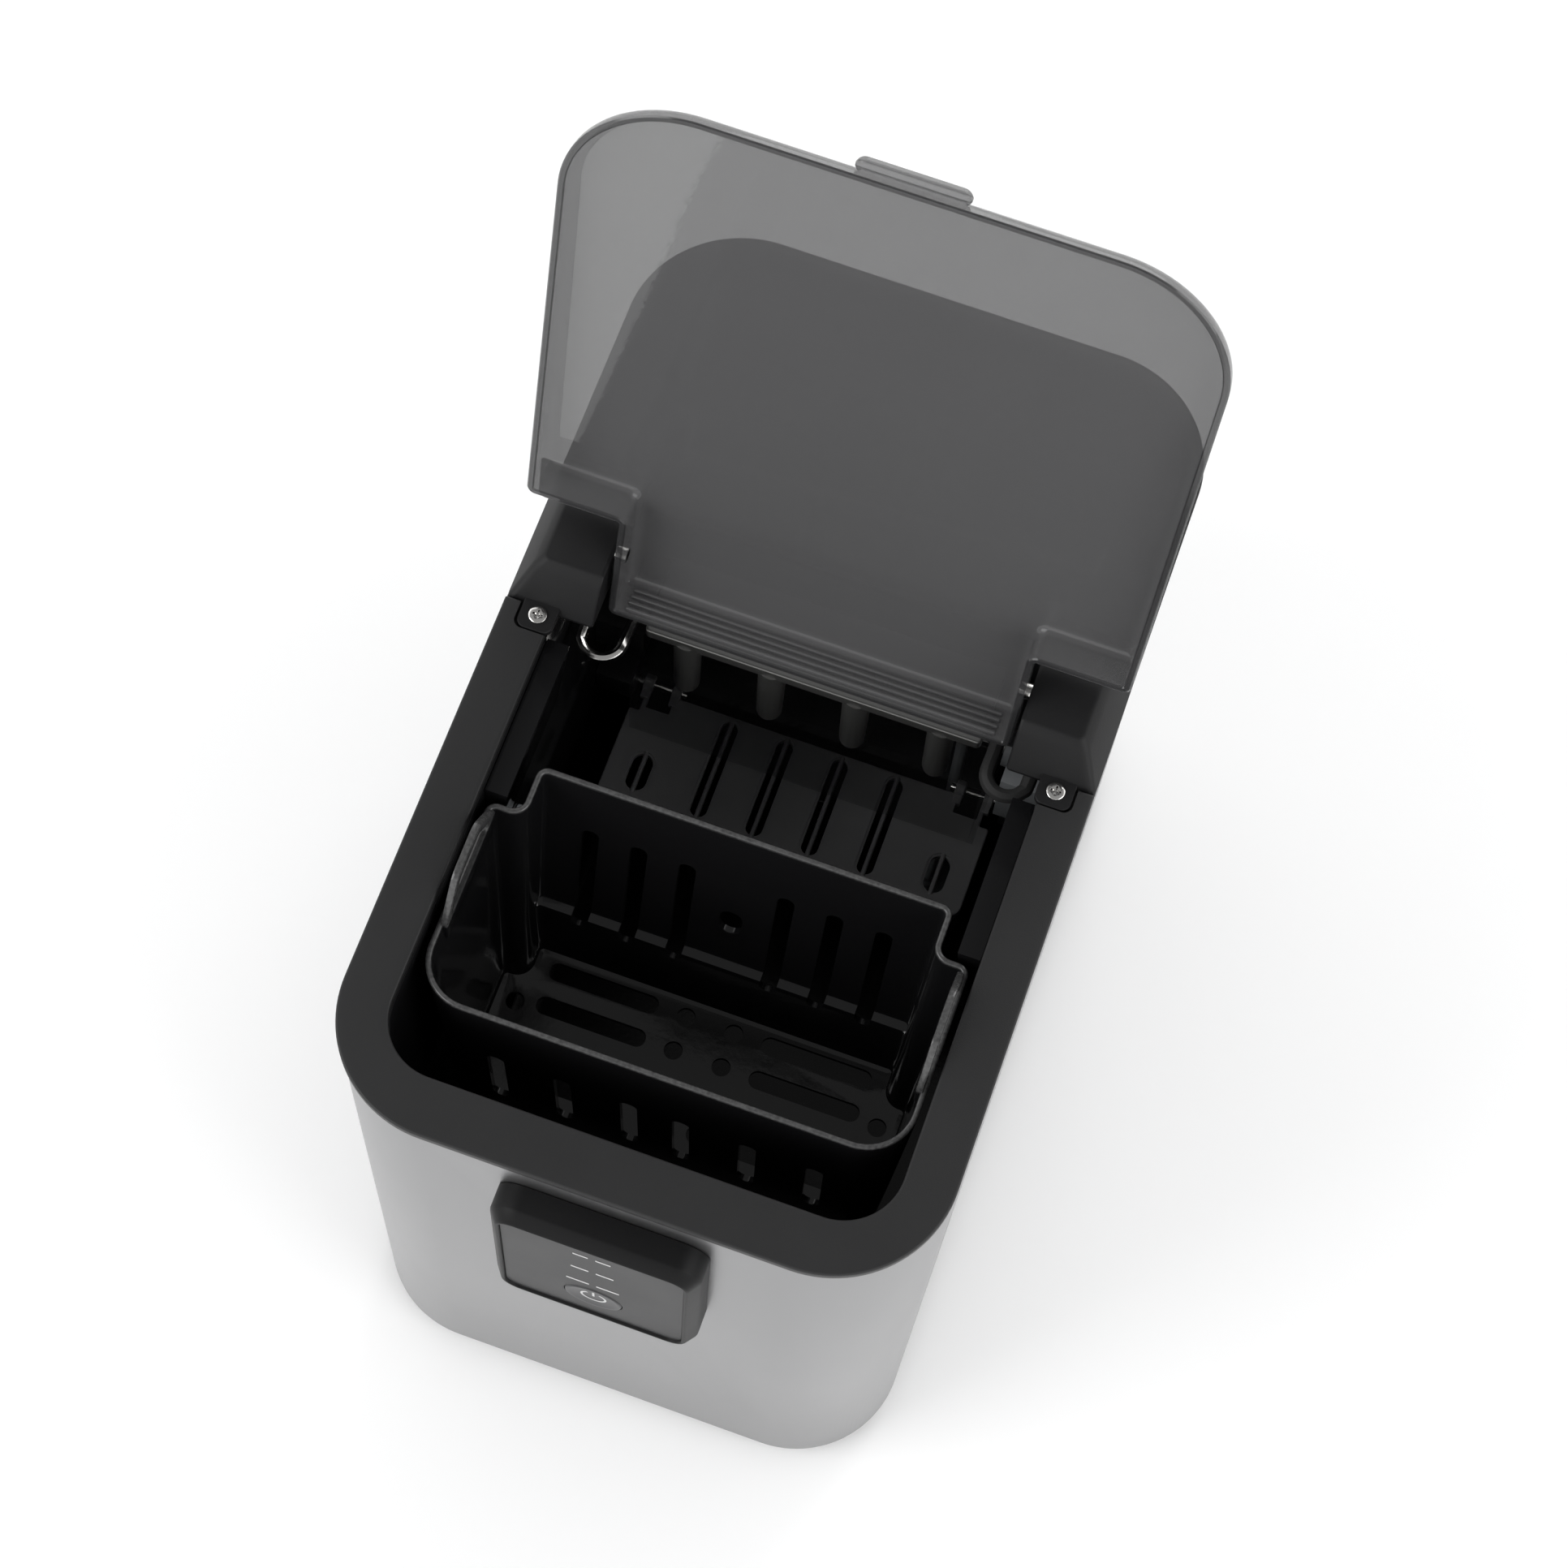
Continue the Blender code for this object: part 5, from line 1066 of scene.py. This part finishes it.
@dataclass
class Mechanism:
    """What shows behind the basket: the cold plate with its fingers, and the slotted ice shovel."""

    at: Layout
    finger_back: float = 224 * MM
    finger_pitch: float = 33.5 * MM
    finger_radius: float = 5.0 * MM
    finger_tip: float = 85 * MM
    plate_drop: float = 38 * MM
    axis_back: float = 243 * MM
    axis_drop: float = 143 * MM

    def cold_plate(self) -> None:
        """The plate and its four fingers: round posts with domed tips."""
        low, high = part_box("evaporator")
        y = self.at.back(self.finger_back)
        plate = rectangle(low.x, high.x, y - 4.6 * MM, high.y, 2 * MM)
        piece = soft_slab(plate, self.at.below(self.plate_drop + 5 * MM), high.z, 0.5 * MM, 0.8 * MM)
        radius = self.finger_radius
        turn = np.linspace(0.0, math.pi / 2, 7)
        dome = np.stack([radius * np.sin(turn), 0.8 * radius * (1 - np.cos(turn))], axis=1)
        length = self.finger_tip - self.plate_drop - 4 * MM
        section = np.concatenate([dome, [[radius + 0.5 * MM, length]]])
        places = (np.arange(4) - 1.5) * self.finger_pitch
        fingers = [turned(section, (x, y, self.at.below(self.finger_tip)), steps=28) for x in places]
        made = together([piece, *fingers]).piece("cold_plate")
        dress(made, COLD, "cabinet", "evaporator")

    def slot(self, x: float, y0: float, y1: float, reach: float) -> tuple[Outline, Outline]:
        """A slot's rim and its hole, seen from above."""
        rim = rectangle(x - reach - 0.9 * MM, x + reach + 0.9 * MM, y0 - 0.9 * MM, y1 + 0.9 * MM, reach + 0.8 * MM)
        return rim, rectangle(x - reach, x + reach, y0, y1, reach - 0.05 * MM)

    def shovel(self) -> None:
        """The flap: a plate with round-ended slots, each set in a shallow sunken step, and a rib down each slot."""
        low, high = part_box("ice_shovel")
        axis, middle = self.at.back(self.axis_back), self.at.below(self.axis_drop)
        z0, z1 = middle - 1.25 * MM, middle + 1.25 * MM
        body = Outline(
            (
                (low.x, low.y), (high.x, low.y), (high.x, axis - 13 * MM), (high.x - 4 * MM, axis - 13 * MM),
                (high.x - 4 * MM, axis - 3 * MM), (low.x + 4 * MM, axis - 3 * MM),
                (low.x + 4 * MM, axis - 13 * MM), (low.x, axis - 13 * MM),
            ),
            mm(5, 5, 1, 0.6, 2, 2, 0.6, 1), 8,
        )
        piece = soft_slab(body, z0, z1, 0.3 * MM, 0.5 * MM, 4).piece("shovel_flap")
        rows = [(23.3 * MM * (i - 1.5), low.y + 5 * MM, axis - 5 * MM, 3.4 * MM) for i in range(4)]
        rows += [(side.value * 62.5 * MM, low.y + 7 * MM, low.y + 23 * MM, 4.2 * MM) for side in Side]
        slots = [self.slot(*row) for row in rows]
        carve(piece, together([prism(rim, z1 - 0.5 * MM, z1 + 2 * MM) for rim, _ in slots]))
        carve(piece, together([prism(hole, z0 - 2 * MM, z1 + 2 * MM) for _, hole in slots]))
        y0, y1 = axis - 11 * MM, axis + 2 * MM
        middles = [side.value * 65 * MM for side in Side]
        notches = [rectangle(x - 5 * MM, x + 5 * MM, y0, y1, 0.6 * MM) for x in middles]
        carve(piece, together([prism(notch, z0 - 2 * MM, z1 + 2 * MM) for notch in notches]))
        dress(piece, SHOVEL, "shovel", "ice_shovel")
        for index, (x, y0, y1, _) in enumerate(rows, 1):
            outline = rectangle(x - 0.9 * MM, x + 0.9 * MM, y0 - 1.5 * MM, y1 + 1.5 * MM, 0.85 * MM, 6)
            rib = soft_slab(outline, z0, z1 + 0.2 * MM, 0.1 * MM, 0.6 * MM, 5)
            dress(rib.piece(f"shovel_rib_{index}"), SHOVEL, "shovel")
        self.knuckles(axis, middle)

    def knuckles(self, axis: float, middle: float) -> None:
        """The flap's four hinge eyes, each a short sleeve on a foot."""
        section = np.array([[3.2, 0.0], [3.6, 0.4], [3.6, 3.6], [3.2, 4.0]]) * MM
        shapes = []
        for side in Side:
            for offset in (58 * MM, 70 * MM):
                x = side.value * offset - (4 * MM if side is Side.LEFT else 0.0)
                shapes.append(turned(section, (x, axis, middle), "X", 28))
                foot = rectangle(x + 0.3 * MM, x + 3.7 * MM, axis - 7 * MM, axis, 0.3 * MM, 3)
                shapes.append(soft_slab(foot, middle - 1.2 * MM, middle + 1.6 * MM, 0.1 * MM, 0.3 * MM, 3))
        dress(together(shapes).piece("shovel_knuckles"), SHOVEL, "shovel")

    def build(self) -> None:
        """Makes the two pieces."""
        self.cold_plate()
        self.shovel()


# The studio


@dataclass(frozen=True)
class Studio:
    """A pale floor, soft lights and the camera."""

    eye: tuple[float, float, float] = (0.1183, -0.4749, 1.4756)
    right: tuple[float, float, float] = (0.9422, 0.3327, 0.0401)
    up: tuple[float, float, float] = (-0.3232, 0.8705, 0.3712)
    lens: float = 81.49
    side_glow: float = 1.36
    top_glow: float = 0.30
    dim_from: float = 0.55
    dim_to: float = 0.85
    floor_reach: float = 6.0
    aim: tuple[float, float, float] = (0.0, 0.0, 0.25)

    def camera(self) -> None:
        """Stands the camera at the eye, looking along the cross product of its two axes."""
        data = bpy.data.cameras.new("camera")
        data.lens = self.lens
        data.sensor_width = 36.0
        made = put("camera", data)
        right = Vector(self.right).normalized()
        back = right.cross(Vector(self.up)).normalized()
        up = back.cross(right)
        made.matrix_world = Matrix.Translation(self.eye) @ Matrix((right, up, back)).transposed().to_4x4()
        bpy.context.scene.camera = made

    def floor(self) -> None:
        """A wide pale plane under the machine."""
        ends = np.array([[-1, -1, 0], [1, -1, 0], [1, 1, 0], [-1, 1, 0]]) * self.floor_reach
        plane = Surface(ends, np.array([[0, 1, 2, 3]])).piece("floor")
        finish = Finish("Studio floor", (0.96, 0.96, 0.96), 0.85, relief=0.0, drift=0.0)
        plane.data.materials.append(finish.material())

    def light(self, name: str, place: tuple[float, float, float], size: float, power: float) -> None:
        """A square softbox aimed at the machine."""
        data = bpy.data.lights.new(name, "AREA")
        data.shape = "SQUARE"
        data.size = size
        data.energy = power
        made = put(name, data)
        made.location = place
        made.rotation_euler = (Vector(self.aim) - Vector(place)).to_track_quat("-Z", "Y").to_euler()

    def sky(self, tree: Tree) -> None:
        """A studio that is bright round the sides and dim overhead, so that dark gloss stays dark."""
        place = tree.nodes.new("ShaderNodeTexCoord").outputs["Generated"]
        split = tree.nodes.new("ShaderNodeSeparateXYZ")
        tree.links.new(place, split.inputs["Vector"])
        rise = tree.nodes.new("ShaderNodeMapRange")
        rise.interpolation_type = "SMOOTHSTEP"
        fill(rise, {
            "From Min": self.dim_from, "From Max": self.dim_to, "To Min": self.side_glow, "To Max": self.top_glow,
        })
        tree.links.new(split.outputs["Z"], rise.inputs["Value"])
        tree.links.new(rise.outputs["Result"], tree.nodes["Background"].inputs["Strength"])
        fill(tree.nodes["Background"], {"Color": (1.0, 1.0, 1.0, 1.0)})

    def build(self) -> None:
        """Sets the world and the lights."""
        world = bpy.data.worlds.new("studio")
        world.use_nodes = True
        self.sky(world.node_tree)
        bpy.context.scene.world = world
        bpy.context.scene.view_settings.view_transform = "Standard"
        self.floor()
        self.light("key", (-1.3, -1.0, 1.5), 1.2, 15.0)
        self.light("fill", (1.6, -0.5, 1.3), 1.2, 10.0)
        self.light("back", (0.2, 1.8, 1.4), 1.3, 12.0)


def main() -> None:
    """Builds the scene in order: camera, finishes of the kept nodes, finer pieces, studio."""
    logging.basicConfig(level=logging.INFO, format="%(message)s")
    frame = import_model()
    studio = Studio()
    studio.camera()
    layout = Layout.read()
    carry(frame["nodes"])
    Enclosure(layout).build()
    Lid(layout).build()
    Basket(layout).build()
    ControlModule(layout).build()
    Mechanism(layout).build()
    studio.build()


if __name__ == "__main__":
    main()
